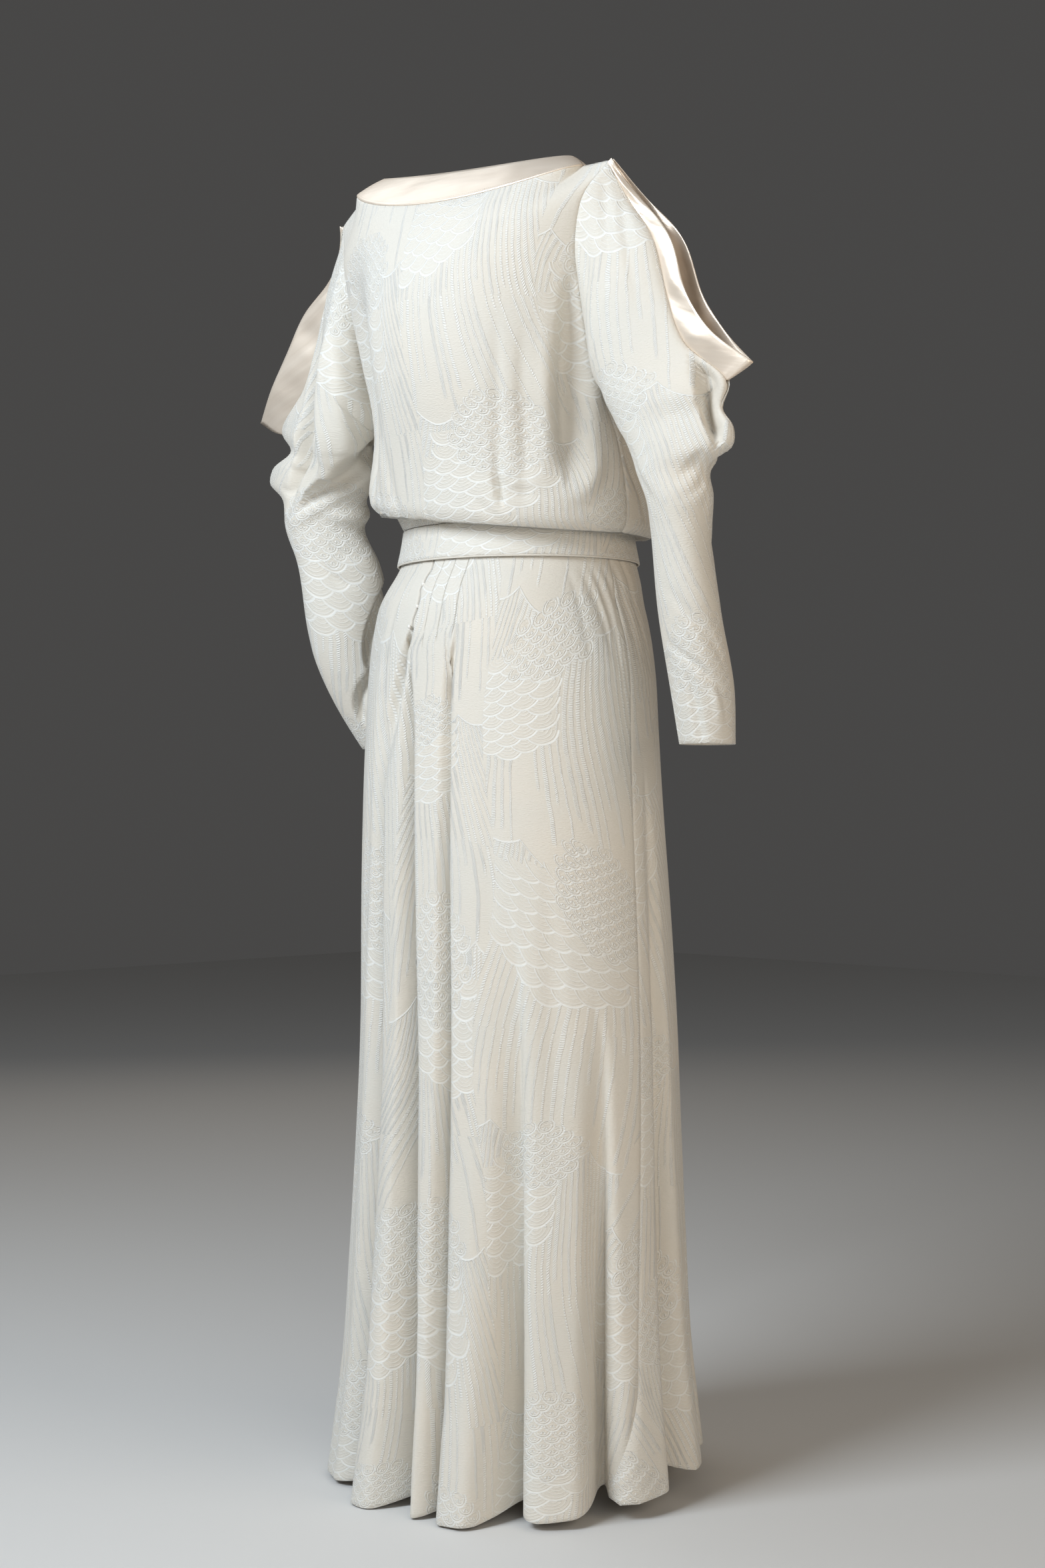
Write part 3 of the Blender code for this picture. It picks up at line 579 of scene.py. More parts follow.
def crepe_figure():
    """The group that both sides of the crepe share: the figure and the crinkled ground."""
    group = bpy.data.node_groups.new("crepe_figure", "ShaderNodeTree")
    for output in ("Figure", "Relief", "Cast"):
        group.interface.new_socket(output, in_out="OUTPUT", socket_type="NodeSocketFloat")
    at = flat_place(group)
    split = group.nodes.new("ShaderNodeSeparateXYZ")
    group.links.new(at, split.inputs[0])
    x, y = (Field(group, split.outputs[axis]) * 1000.0 for axis in ("X", "Y"))
    for scale, amount in DRIFTS:
        drift = group.nodes.new("ShaderNodeSeparateColor")
        group.links.new(add_noise(group, at, scale, 0.0).outputs["Color"], drift.inputs[0])
        x = x + (Field(group, drift.outputs[0]) - 0.5) * amount
        y = y + (Field(group, drift.outputs[1]) - 0.5) * amount

    # Each half-drop repeat has its own chances. The odd factors only keep them apart.
    repeat = (x / REPEAT_WIDE).maths("FLOOR")
    cell_x = x - (repeat + 0.5) * REPEAT_WIDE
    column_chance = random_field(group, repeat * 7.9 + 3.0)
    dropped = y + ((repeat * 0.5).maths("FRACT") + column_chance * 0.25) * REPEAT_HIGH
    tier = (dropped / REPEAT_HIGH).maths("FLOOR")
    cell_y = dropped - tier * REPEAT_HIGH
    chance = random_field(group, repeat * 17.3 + tier * 5.1)
    other_chance = random_field(group, repeat * 3.1 + tier * 11.7 + 40.0)
    leaning = cell_y + cell_x * (chance - 0.5) * CLUSTER_LEAN

    # A scale shows its rim, a second one inside it and two blades. A plume shows rim and ribs.
    middle = ((chance - 0.5) * 44.0, other_chance * 36.0 + CLUSTER_HEIGHT)
    reach = (other_chance * 22.0 + 44.0, chance * 26.0 + 30.0)
    out, on_scales, turn = lapped_scales(cell_x, leaning, SCALE_WIDE, SCALE_DROP, middle, reach)
    rim = out.over(SCALE_RIM, 0.05)
    second = out.over(SECOND_RIM[0], 0.05) * out.under(SECOND_RIM[1], 0.05) * 0.75
    blades = (turn.maths("ABSOLUTE") - 0.5).maths("ABSOLUTE").under(0.24, 0.1)
    blades = blades * out.under(0.5, 0.05) * out.over(0.1, 0.05)
    scales = rim.highest(second, blades) * on_scales

    plume_middle = (middle[0] + (other_chance - 0.5) * 90.0, middle[1] - PLUMES_BELOW)
    plume_reach = (chance * 22.0 + 52.0, 58.0)
    far, on_plumes, _ = lapped_scales(
        cell_x, leaning, PLUME_WIDE, PLUME_DROP, plume_middle, plume_reach
    )
    on_plumes = on_plumes * on_scales.rest()
    ribs = ((far * PLUME_RIBS).maths("FRACT") - 0.5).maths("ABSOLUTE").over(0.36, 0.08) * 0.35
    plumes = far.over(PLUME_RIM, 0.03).highest(ribs) * on_plumes

    # Each tier of rays starts from a wavy plume line that runs across its repeat. A ray has its
    # own width, length and hatching, and lies on one spoke from a focus below.
    waves = ((cell_x / WAVE_LONG + chance).maths("FRACT") - 0.5) * 2.0
    line = waves * waves * WAVE_DEEP + cell_x * (other_chance - 0.5) * 0.8 + 138.0
    past = dropped - line
    ray_tier = (past / REPEAT_HIGH).maths("FLOOR")
    height = past - ray_tier * REPEAT_HIGH
    plume_line = height.under(1.3, 0.4).highest(height.over(REPEAT_HIGH - 0.6, 0.4))
    fall = height * -1.0 + RAY_FOCUS
    radius = cell_x.length(fall)
    ray_chance = random_field(group, repeat * 2.3 + ray_tier * 13.1)
    spoke = cell_x.maths("ARCTAN2", fall) / RAY_TURN
    number = spoke.maths("FLOOR")
    own = random_field(group, number * 3.7 + ray_chance * 91.0)
    aside = (spoke - number - 0.5) * RAY_TURN * radius
    ray = (aside.maths("ABSOLUTE") - (own * 1.3 + 0.8)).under(0.0, 0.3)
    own_length = random_field(group, number * 1.9 + ray_chance * 57.0)
    ray = ray * (height - own_length * own_length * RAY_CUT).over(0.0, 3.0)
    hatch = ((radius + aside * 0.8) / HATCH_STEP + own * 7.0).maths("FRACT")
    hatch = (hatch - 0.5).maths("ABSOLUTE").over(0.2, 0.12)
    bare = on_scales.highest(on_plumes).rest()
    rays = (ray * (hatch * 0.8 + 0.2)).highest(plume_line) * bare
    figure = scales.highest(plumes, rays)

    # The floats of the figure are worn in places, over a crinkled ground.
    worn_away = noise_field(group, at, 55.0, 2.0)
    figure = figure * (worn_away.over(0.42, 0.16) * 0.45 + 0.55)
    crinkle = noise_field(group, at, (300.0, 800.0), 2.0) - 0.5
    relief = figure + crinkle * (on_scales * 1.1 + 0.9) + on_scales * 0.25
    end = group.nodes.new("NodeGroupOutput")
    for field, socket in zip((figure, relief, noise_field(group, at, 9.0, 3.0)), end.inputs):
        group.links.new(field.socket, socket)
    return group


def mixed(tree, share, low, high):
    """A colour that changes from low, a colour or a socket, to high with a field."""
    mix = tree.nodes.new("ShaderNodeMix")
    mix.data_type = "RGBA"
    if isinstance(low, tuple):
        mix.inputs["A"].default_value = (*low, 1)
    else:
        tree.links.new(low, mix.inputs["A"])
    mix.inputs["B"].default_value = (*high, 1)
    tree.links.new(share.socket, mix.inputs["Factor"])
    return mix.outputs["Result"]


def finish_surface(tree, shader, colour, roughness, height=None, relief=0.0):
    """Links what changes over a surface: its colour, roughness and, in metres, its relief."""
    tree.links.new(colour, shader.inputs["Base Color"])
    if roughness:
        tree.links.new(roughness.socket, shader.inputs["Roughness"])
    if height:
        bump = tree.nodes.new("ShaderNodeBump")
        bump.inputs["Distance"].default_value = relief
        tree.links.new(height.socket, bump.inputs["Height"])
        tree.links.new(bump.outputs["Normal"], shader.inputs["Normal"])


CREPE_GLOSS = {"Sheen Weight": 0.18, "Sheen Roughness": 0.4, "Specular IOR Level": 0.4}
figure_group = crepe_figure()


def crepe_finish(name, grounds, raised, relief):
    material, tree, shader = new_finish(name, CREPE_GLOSS)
    figure = tree.nodes.new("ShaderNodeGroup")
    figure.node_tree = figure_group
    mask, height, cast = (Field(tree, socket) for socket in figure.outputs)
    ground = mixed(tree, cast.over(0.5, 0.2), *grounds)
    colour = mixed(tree, mask, ground, raised)
    finish_surface(tree, shader, colour, mask.between(0.62, 0.45), height, relief)
    return material


CREPE_GROUNDS = ((0.665, 0.635, 0.57), (0.70, 0.645, 0.56))
# The reverse's grounds and figure are warmer and more peach than the face's. This is painted warm
# shade for the cloth's inside, which lies in shade. Its figure is darker than its ground and sunk,
# not raised.
REVERSE_SHADED_GROUNDS = ((0.69, 0.61, 0.50), (0.72, 0.63, 0.51))
crepe_face = crepe_finish("crepe_face", CREPE_GROUNDS, (0.77, 0.76, 0.72), 0.0005)
crepe_reverse_painted_shade = crepe_finish("crepe_reverse_painted_shade", REVERSE_SHADED_GROUNDS, (0.62, 0.56, 0.46), -0.0002)
crepe = (crepe_face, crepe_reverse_painted_shade)


def panel_shares():
    """Where a bodice panel's columns stand, from -1 to 1 across it, and which are the neck's."""
    neck = np.linspace(-NECK_SHARE, NECK_SHARE, NECK_COLUMNS + 1)
    shoulder = np.linspace(NECK_SHARE, 1.0, SHOULDER_COLUMNS + 1)[1:]
    shares = np.concatenate([-shoulder[::-1], neck, shoulder])
    return shares, slice(SHOULDER_COLUMNS, SHOULDER_COLUMNS + NECK_COLUMNS + 1)


def neck_curve(line, turns, facing):
    """Points round half of the neck. Turns run from -1 to 1, as seen from outside."""
    turn = turns * math.pi / 2
    x = -facing * line.side_x * np.sin(turn)
    y = line.side_y + (line.mid_y - line.side_y) * np.cos(turn)
    z = line.side_z + (line.mid_z - line.side_z) * np.maximum(np.cos(turn), 0) ** 1.5
    points = np.stack([x, y, z], axis=1) * MM
    points[:, 2] += NECK_TILT * points[:, 0]
    return points


def top_row(line, shares, facing):
    """The top edge of a panel: the neck line, then the shoulder seam out to the armhole."""
    turns = np.clip(shares / NECK_SHARE, -1, 1)
    points = neck_curve(line, turns, facing)
    out = np.clip((np.abs(shares) - NECK_SHARE) / (1 - NECK_SHARE), 0, 1)[:, None]
    side = -facing * np.sign(shares)
    corner = np.array(SHOULDER_POINT) * MM * np.stack([side, side * side, side * side], axis=1)
    return points * (1 - out) + corner * out


def bodice_row(row, shares, facing):
    sweep = math.radians(row.sweep)
    turn = sweep * shares
    middle = (np.cos(turn) - math.cos(sweep)) / (1 - math.cos(sweep))
    x = -facing * row.edge_x * np.sin(turn) / math.sin(sweep)
    y = row.edge_y + (row.mid_y - row.edge_y) * middle
    z = row.edge_z + (row.mid_z - row.edge_z) * middle + row.slope * x
    fuller = LEFT_BAG * within(-row.edge_z, *BAGGED) * bell((shares + 0.5) / 0.5) * (facing > 0)
    x, y = x + fuller, y + fuller
    return np.stack([x, y, z], axis=1) * MM


shares, neck_columns = panel_shares()
back_rows = [top_row(BACK_LINE, shares, 1)] + [bodice_row(row, shares, 1) for row in BACK_ROWS]
front_rows = [top_row(FRONT_LINE, shares, -1)]
front_rows += [bodice_row(row, shares, -1) for row in FRONT_ROWS]
bodice_steps = fine_steps(back_rows)
bodice_back = Panel(loft(back_rows, bodice_steps), CREPE)
bodice_front = Panel(loft(front_rows, bodice_steps), CREPE)
underarm = sum(bodice_steps[:ARMHOLE_ROWS])
side_rows = slice(underarm, None)
sew(bodice_back, (side_rows, -1), bodice_front, (side_rows, 0))
sew(bodice_back, (side_rows, 0), bodice_front, (side_rows, -1))
SHOULDER_SEAMS = (
    (slice(SHOULDER_COLUMNS + 1), slice(None, -SHOULDER_COLUMNS - 2, -1)),
    (slice(-SHOULDER_COLUMNS - 1, None), slice(SHOULDER_COLUMNS, None, -1)),
)
for back_columns, front_columns in SHOULDER_SEAMS:
    sew(bodice_back, (0, back_columns), bodice_front, (0, front_columns))

# -------- sleeves
# One piece of crepe each, set into the armhole and slit down the outside of the arm from the
# shoulder to above the elbow. The fullness hangs over the elbow, above a slim lower sleeve.
SLIT_START = 4 * MM  # the slit's edges start this far either side of the shoulder point
# Rings of the sleeves from the shoulder down, in millimetres: their points furthest out from
# the body and nearest to it, and half the fullness between. Peak thins a ring's outer end, gap
# parts it at the slit, and skew swings its back outwards.
RING_COLUMNS = "outer outer_y outer_z inner inner_y inner_z depth peak gap skew"
SleeveRing = namedtuple("SleeveRing", RING_COLUMNS)
SLEEVE_RINGS = read_rows(SleeveRing, """
213 0 -38 164 -15 -213 46 0.35 14 0
240 -3 -80 169 -14 -217 50 0.5 20 0
255 -6 -123 175 -12 -224 50 0.58 24 0
276 -7 -172 181 -9 -234 47 0.62 24 0
323 -7 -217 190 -5 -246 43 0.62 2 0
310 -9 -236 198 -5 -259 40 0.5 0 0
334 -10 -255 207 -6 -271 40 0.45 0 0
336 -10 -269 214 -7 -283 40 0.42 0 0
305 -10 -292 220 -9 -300 38 0.25 0 0.08
302 -13 -318 226 -12 -322 36 0.12 0 0.18
290 -21 -352 222 -20 -354 34 0 0 0.3
288 -36 -430 217 -35 -431 34 0 0 0.35
284 -60 -508 213 -60 -509 36 0 0 0.3
276 -72 -560 213 -72 -560 32 0 0 0.3
""")
SLIT_RINGS = 5  # rings from the shoulder that the slit parts
# The left sleeve's folds stand this much further out and higher, the right's further in and lower.
SLEEVE_SHIFT, SLEEVE_RISE = 9 * MM, 10 * MM
SLEEVE_SHIFTED = (40, 140, 275, 365)  # millimetres below the shoulder where they do
SHIFT_OUT = (200, 280)  # and out from the middle of the body
# The outer edge of each ring from the shoulder down stands out further, in millimetres.
EDGE_OUT = {"right": (0, 7, 12, 13, 11, 14, 2), "left": (0, -8, -11, -12, -10, -12, -2)}
UNDERARM_FILL = np.array([20, 14, 0]) * MM  # the left bags in towards the body above the elbow
UNDERARM_FILLED = (225, 270, 372, 452)  # between these depths
FILL_OUT = (265, 190)  # and inwards from here
LEFT_WRIST_BEND = np.array([15.84, 18, 0]) * MM  # and its cuff turns in and forwards
WRIST_BENT = (450, 560)
SLEEVE_CREASES = {
    "right": read_creases("""
-0.2: 78 575 0 6, 80 540 2.6 9, 82 500 2 9, 84 450 0 8;
0: 104 550 0 6, 104 510 3 9, 108 465 1.5 9, 110 420 0 8;
0: 52 540 0 8, 50 500 2.5 10, 54 450 0 9;
-0.5: 176 500 0 7, 172 440 5 10, 168 400 11 13, 164 366 17 15, 161 336 22 16, 158 312 24 15,
  157 296 20 12, 158 282 9 9, 159 268 0 7;
0: 148 276 0 6, 136 266 2 8, 118 254 1.4 8, 102 250 0 8;
0: 152 258 0 6, 140 246 2.6 7, 122 236 1.4 7, 106 232 0 7;
0: 156 250 0 6, 146 232 3 7, 128 218 0 7;
0: 60 300 0 10, 66 260 2.5 12, 84 225 0 10;
0: 52 108 0 7, 76 86 3 7, 92 66 3.4 7, 104 42 0 7;
0: 74 158 0 8, 92 130 2 9, 110 96 2 9, 118 70 0 8;
0: 76 78 0 7, 72 45 3.4 9, 66 4 3 8;
0: 96 60 0 6, 94 34 -2.4 8, 88 8 0 8;
0: 36 70 0 7, 30 36 2.4 9, 28 0 1.5 8;
0: -30 560 0 8, -36 500 4 12, -44 420 5 14, -60 350 0 12;
0: -92 560 0 7, -100 500 3 10, -108 440 0 10;
0.4: -158 372 0 8, -150 335 12 13, -146 300 14 13, -140 270 0 9;
0: -146 268 0 6, -124 250 4 8, -96 240 0 8;
0: -20 330 0 12, -50 290 8 16, -84 262 5 12, -110 250 0 10;
0: -40 230 0 9, -60 190 3 10, -84 165 0 9;
0: -36 110 0 8, -60 84 3 9, -84 66 0 8;
0: -70 60 0 8, -66 30 3 9, -60 2 2 8
"""),
    "left": read_creases("""
0.5: -132 520 0 8, -128 480 7 12, -125 440 14 15, -122 400 19 17, -120 367 21 17, -120 335 19 15,
  -122 305 12 12, -126 284 5 9, -132 270 0 8;
-0.3: -147 440 0 6, -144 400 -4 9, -142 365 -7 10, -141 335 -4 9, -141 310 0 8;
-0.6: -80 545 0 18, -82 500 -12 28, -83 450 -22 36, -82 400 -28 41, -81 350 -30 42,
  -85 322 -25 35, -97 296 -15 24, -113 272 -9 15, -128 255 0 10;
-0.4: 0 385 0 16, -24 364 14 20, -44 342 21 21, -62 322 23 20, -80 303 19 17, -96 287 14 13,
  -110 273 8 10, -122 262 0 8;
0: -84 268 0 9, -60 262 -4 13, -30 262 -5 14, -4 268 0 14;
-0.4: -52 545 0 10, -44 490 9 20, -36 430 13 26, -26 370 13 28, -10 335 6 24, 0 310 0 20;
0: -74 470 0 8, -70 425 -3 9, -66 370 -3.5 9, -62 330 0 9;
-0.4: 6 200 0 10, -20 170 10 14, -38 134 13 14, -43 104 8 12, -40 90 0 10;
0: -8 142 0 8, -24 128 -5 8, -38 114 0 8;
-0.3: -12 94 0 9, -34 88 8 10, -54 68 11 10, -60 46 9 9, -52 28 0 8;
0: -50 24 0 8, -40 50 -3 10, -24 62 0 10;
0: -84 238 0 8, -66 222 2.6 9, -40 214 0 9;
0: -90 210 0 8, -72 192 2.4 9, -50 186 0 9;
0: -150 330 0 7, -134 318 3 8, -116 316 0 8;
0: -152 296 0 7, -136 292 3 8, -120 298 0 8;
0: 30 560 0 8, 34 500 4 12, 44 420 5 14, 60 350 0 12;
0: 96 560 0 7, 100 500 3 10, 106 440 0 10;
-0.4: 158 372 0 8, 150 335 12 13, 146 300 13 13, 138 270 0 9;
0: 144 266 0 6, 120 250 4 8, 92 244 0 8;
0: 26 330 0 12, 56 288 7 15, 88 262 5 12, 112 250 0 10;
0: 44 226 0 9, 62 190 3 10, 86 160 0 9;
0: 34 110 0 8, 62 82 3 9, 86 62 0 8;
0: 66 60 0 8, 62 30 3 9, 58 2 2 8
"""),
}


def sleeve_ring(ring, shares):
    """One ring, from the slit's back edge round the inside of the arm to its front edge."""
    turn = 2 * math.pi * shares
    outward = 0.5 + 0.5 * np.cos(turn)
    side = np.where(shares < 0.5, 1.0, -1.0)
    x = ring.inner + (ring.outer - ring.inner) * outward + ring.skew * ring.depth * np.sin(turn)
    y = ring.inner_y + (ring.outer_y - ring.inner_y) * outward
    y = y + ring.depth * np.sin(turn) * (1 - ring.peak * outward)
    y = y + 0.5 * ring.gap * side * outward**4
    z = ring.inner_z + (ring.outer_z - ring.inner_z) * outward
    return np.stack([x, y, z], axis=1) * MM


def armhole_ring(back_edge, front_edge):
    """The armhole from the shoulder down its back edge and up its front edge, measured outwards."""
    points = np.concatenate([back_edge, front_edge[::-1][1:]])
    points[:, 0] = np.abs(points[:, 0])
    points[0] += SLIT_START * unit(points[1] - points[0])
    points[-1] += SLIT_START * unit(points[-2] - points[-1])
    along = walked(points)
    under = len(back_edge) - 1
    back = 0.5 * along[: under + 1] / along[under]
    front = 0.5 + 0.5 * (along[under + 1 :] - along[under]) / (along[-1] - along[under])
    return points, np.concatenate([back, front])


def worn(points, side):
    """Points measured out from the body's middle, set on their side as the sleeve hangs there."""
    out, drop = points[..., 0] / MM, -points[..., 2] / MM
    share = within(drop, *SLEEVE_SHIFTED) * rise(out, *SHIFT_OUT)
    points = points + np.stack([SLEEVE_SHIFT * share, 0 * share, SLEEVE_RISE * share], -1) * side
    fill = rise(points[..., 0] / MM, *FILL_OUT) * within(drop, *UNDERARM_FILLED) * (side > 0)
    points = points - fill[..., None] * UNDERARM_FILL
    bend = np.interp(drop, WRIST_BENT, (0, 1)) ** 1.6 * (side > 0)
    points = points - bend[..., None] * LEFT_WRIST_BEND
    return points * np.array([side, 1, 1])


def halfway(points):
    """A line of points with the middle between every two added."""
    added = np.repeat(points, 2, axis=0)[:-1]
    added[1::2] = 0.5 * (points[:-1] + points[1:])
    return added


def doubled(grid):
    """The grid with one more line between every two columns, straight only in the top row."""
    count = grid.shape[1]
    places = np.arange(2 * count - 1) / 2
    fine = through(np.arange(count), grid.transpose(1, 0, 2), places).transpose(1, 0, 2)
    fine[0] = halfway(grid[0])
    return fine


sleeves = {}
armhole_rows = slice(0, underarm + 1)
for side, name, back_column, front_column in ((-1, "right", -1, 0), (1, "left", 0, -1)):
    back_edge = bodice_back.grid[armhole_rows, back_column]
    front_edge = bodice_front.grid[armhole_rows, front_column]
    armhole, around = armhole_ring(back_edge, front_edge)
    edges_out = EDGE_OUT[name] + (0,) * (len(SLEEVE_RINGS) - len(EDGE_OUT[name]))
    rings = [ring._replace(outer=ring.outer + out) for ring, out in zip(SLEEVE_RINGS, edges_out)]
    rows = [armhole] + [sleeve_ring(ring, around) for ring in rings]
    sleeve_steps = fine_steps(rows)
    hung = doubled(worn(loft(rows, sleeve_steps), side))
    sleeve = Panel(hung, CREPE, mirrored=side < 0, grain=(0.1 * side, -0.15, -1))
    back_normals = bodice_back.normals[armhole_rows, back_column]
    front_normals = bodice_front.normals[armhole_rows, front_column]
    shared = np.concatenate([back_normals, front_normals[::-1][1:]])
    shared[1:-1] = unit(shared[1:-1] + sleeve.normals[0, 2:-1:2])
    sleeve.normals[0] = unit(halfway(shared))
    back_normals[:] = shared[: underarm + 1]
    front_normals[:] = shared[underarm:][::-1]
    closed = slice(sum(sleeve_steps[: SLIT_RINGS + 1]), None)
    sew(sleeve, (closed, 0), sleeve, (closed, -1))
    sleeves[name] = sleeve

for name, sleeve in sleeves.items():
    slit_rows = sum(sleeve_steps[:SLIT_RINGS])
    sleeve.slit_edges = [sleeve.grid[: slit_rows + 1, edge].copy() for edge in (0, -1)]
    sleeve.press(SLEEVE_CREASES[name], hold=12 * MM)
    sleeve.trim()
    piece = add_wall("crepe_sleeve_" + name, sleeve, crepe)
    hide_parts("sleeve_" + name)

for name, panel, creases in (
    ("back", bodice_back, BACK_CREASES),
    ("front", bodice_front, FRONT_CREASES),
):
    panel.press(creases, hold=10 * MM)
    panel.dip(panel.fallen(), 1.8 * MM, NECK_STEP)
    panel.dip_sides()
    panel.trim()
    piece = add_wall("crepe_bodice_" + name, panel, crepe)
    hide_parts("bodice_" + name)

# -------- neckband
# A shaped band of heavy champagne satin, a back and a front piece, faced with itself, lapped
# over the crepe at its lower edge and held there by one row of small stitches.
SATIN = 1.3 * MM
BAND_ROWS = 12
BACK_EDGE = NeckLine(134, 3, 32, 50, 19)
FRONT_EDGE = NeckLine(134, 3, 32, -49, 2)


satin, satin_tree, satin_shader = new_finish(
    "satin", {"Metallic": 0.45, "Specular IOR Level": 0.6, "Anisotropic": 0.5}
)
satin_place = flat_place(satin_tree)
satin_cast = noise_field(satin_tree, satin_place, (14.0, 60.0), 2.0)
satin_weave = noise_field(satin_tree, satin_place, (160.0, 2200.0), 1.0)
finish_surface(
    satin_tree,
    satin_shader,
    mixed(satin_tree, satin_cast.over(0.5, 0.22), (0.83, 0.70, 0.57), (0.92, 0.80, 0.67)),
    satin_weave.between(0.3, 0.42),
    satin_cast * 1.5 + satin_weave * 0.05,
    relief=0.0004,
)
BAND_CROWN = 1.2 * MM
BAND_WAVES = ((94, 1.0), (57, 0.7), (31, 0.35))  # lengths in millimetres, and their strengths


def satin_band(rim, seam, mirrored, ripple, seed):
    """A band from its free edge to its seam, slightly crowned between them and rippled along."""
    share = np.linspace(0, 1, BAND_ROWS + 1)[:, None, None]
    grid = rim[None] * (1 - share) + seam[None] * share
    panel = Panel(grid, SATIN, mirrored)
    along = walked(grid[BAND_ROWS // 2])[None, :, None] / MM
    waves = 0
    for number, (length, strength) in enumerate(BAND_WAVES):
        turn = 2 * math.pi * along / length + share * (2.2 - number) + seed * (number + 1.7)
        waves = waves + strength * np.sin(turn)
    raised = (BAND_CROWN + ripple * waves) * np.sin(math.pi * share)
    panel.grid = panel.grid + raised * panel.normals
    return panel


thread, thread_tree, thread_shader = new_finish("thread", {})
thread_place = thread_tree.nodes.new("ShaderNodeTexCoord").outputs["Object"]
thread_cast = noise_field(thread_tree, thread_place, 900.0, 1.0)
thread_colour = mixed(thread_tree, thread_cast, (0.52, 0.46, 0.38), (0.66, 0.60, 0.52))
finish_surface(thread_tree, thread_shader, thread_colour, thread_cast.between(0.5, 0.8))
STITCH_LENGTH = 1.5 * MM
THREAD_RADIUS = 0.24 * MM


def add_stitches(name, line, outward, step):
    """A row of short stitches along a line of points, lying on the cloth that faces outward."""
    along = walked(line)
    at = np.arange(step / 2, along[-1], step)
    middle, lift = (
        np.stack([np.interp(at, along, values[:, axis]) for axis in range(3)], axis=1)
        for values in (line, outward)
    )
    ahead = unit(np.gradient(middle, axis=0))
    lift = unit(lift)
    across = np.cross(lift, ahead)
    ends = (-STITCH_LENGTH / 2 * ahead, STITCH_LENGTH / 2 * ahead)
    across, lift = THREAD_RADIUS * across, THREAD_RADIUS * lift
    sides = (across, lift, -across, -lift)
    points = np.stack([middle + offset for offset in ends + sides], axis=1).reshape(-1, 3)
    each = [(0, 2 + k, 2 + (k + 1) % 4) for k in range(4)]
    each += [(1, 2 + (k + 1) % 4, 2 + k) for k in range(4)]
    faces = (np.array(each)[None] + 6 * np.arange(len(at))[:, None, None]).reshape(-1, 3)
    mesh = new_mesh(name, points, faces)
    mesh.materials.append(thread)
    stitches = add_object(name, mesh)
    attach(stitches, "root")


for name, line, edge, facing, bodice in (
    ("back", BACK_LINE, BACK_EDGE, 1, bodice_back),
    ("front", FRONT_LINE, FRONT_EDGE, -1, bodice_front),
):
    turns = np.linspace(-1, 1, NECK_COLUMNS + 1)
    rim, seam = neck_curve(edge, turns, facing), neck_curve(line, turns, facing)
    band = satin_band(rim, seam, mirrored=False, ripple=0.25 * MM, seed=facing)
    sew(band, -1, bodice, (0, neck_columns))
    piece = add_wall("satin_neckband_" + name, band, [satin])
    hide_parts("neckband_" + name)
    under = ["crepe_bodice_" + name]
    stitch_line = 0.93 * band.grid[-2] + 0.07 * band.grid[-3]
    add_stitches("neck_stitches_" + name, stitch_line, band.normals[-2], 2.4 * MM)

# -------- slit bands
# Bands of the same satin, folded double along their length. Each edges a sleeve's slit in one
# piece, down the back of it to its point and up the front, and is sewn on inside its seam.
RimPoint = namedtuple("RimPoint", "out back_y front_y z")
RIM_POINTS = read_rows(RimPoint, """
199 17 13 3
206 11 2 -12
225 3 -9 -38
270 5 -17 -84
293 6 -20 -128
322 5 -20 -166
361 -11 -11 -199
""")
CORNER_OUT = 2 * MM  # the band's lower edge turns this far beyond the sleeve's slit


def rim_line(side, count, facing):
    """The slit's free edge from the shoulder to just short of the tip."""
    name = "back_y" if facing > 0 else "front_y"
    points = np.stack([column(RIM_POINTS, each) for each in ("out", name, "z")], axis=1) * MM
    knots = walked(points)
    return worn(through(knots / knots[-1], points, np.linspace(0, 1, count)), side)


for side, name in ((-1, "right"), (1, "left")):
    back_seam, front_seam = sleeves[name].slit_edges
    count = len(back_seam)
    back_rim, front_rim = rim_line(side, count + 1, 1), rim_line(side, count + 1, -1)
    corner = 0.5 * (back_seam[-1] + front_seam[-1]) + np.array([side * CORNER_OUT, 0, 0])
    rim = np.concatenate([back_rim, front_rim[:-1][::-1]])
    seam = np.concatenate([back_seam, corner[None], front_seam[::-1]])
    band = satin_band(rim, seam, mirrored=side > 0, ripple=1.3 * MM, seed=side)
    piece = add_wall("satin_slit_band_" + name, band, [satin])
    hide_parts("slit_band_" + name)
    under = ["crepe_sleeve_" + name]

# -------- skirt
# A plain front panel and two back panels of the crepe, flared to the hem, with a short
# centre-back closure and stitched tucks beside it. The hem is turned once and stitched.
AXIS_Y = -55 * MM  # the waist and skirt hang this far in front of the shoulder line
HEM_BACK = -1317 * MM
HEM_FRONT = -1281 * MM
# Rows of the skirt from the waist down: height and half sizes in millimetres, and the angles of
# the closure and the side seams from the centre back, in degrees to the wearer's right.
SkirtRow = namedtuple("SkirtRow", "z half_width half_depth closure seam")
SKIRT_ROWS = read_rows(SkirtRow, """
-331 124.5 108 -1.8 90
-371 129.4 114.2 -1.9 90
-396 138.6 122.6 -2.3 91
-421 145.6 128.8 -2.2 92
-450 152.6 133 -3.6 93
-485 159 134.5 -4.8 93
-545 163 137 -3 92
-620 166.5 141 -2 91
-720 171 147 -1 90
-830 175 152 0 89
-950 178 158 1.2 88
-1070 182 165 2.6 86
-1180 187 172.5 3 84
-1250 193 182 3 83
-1300 198 189 3 82
""")

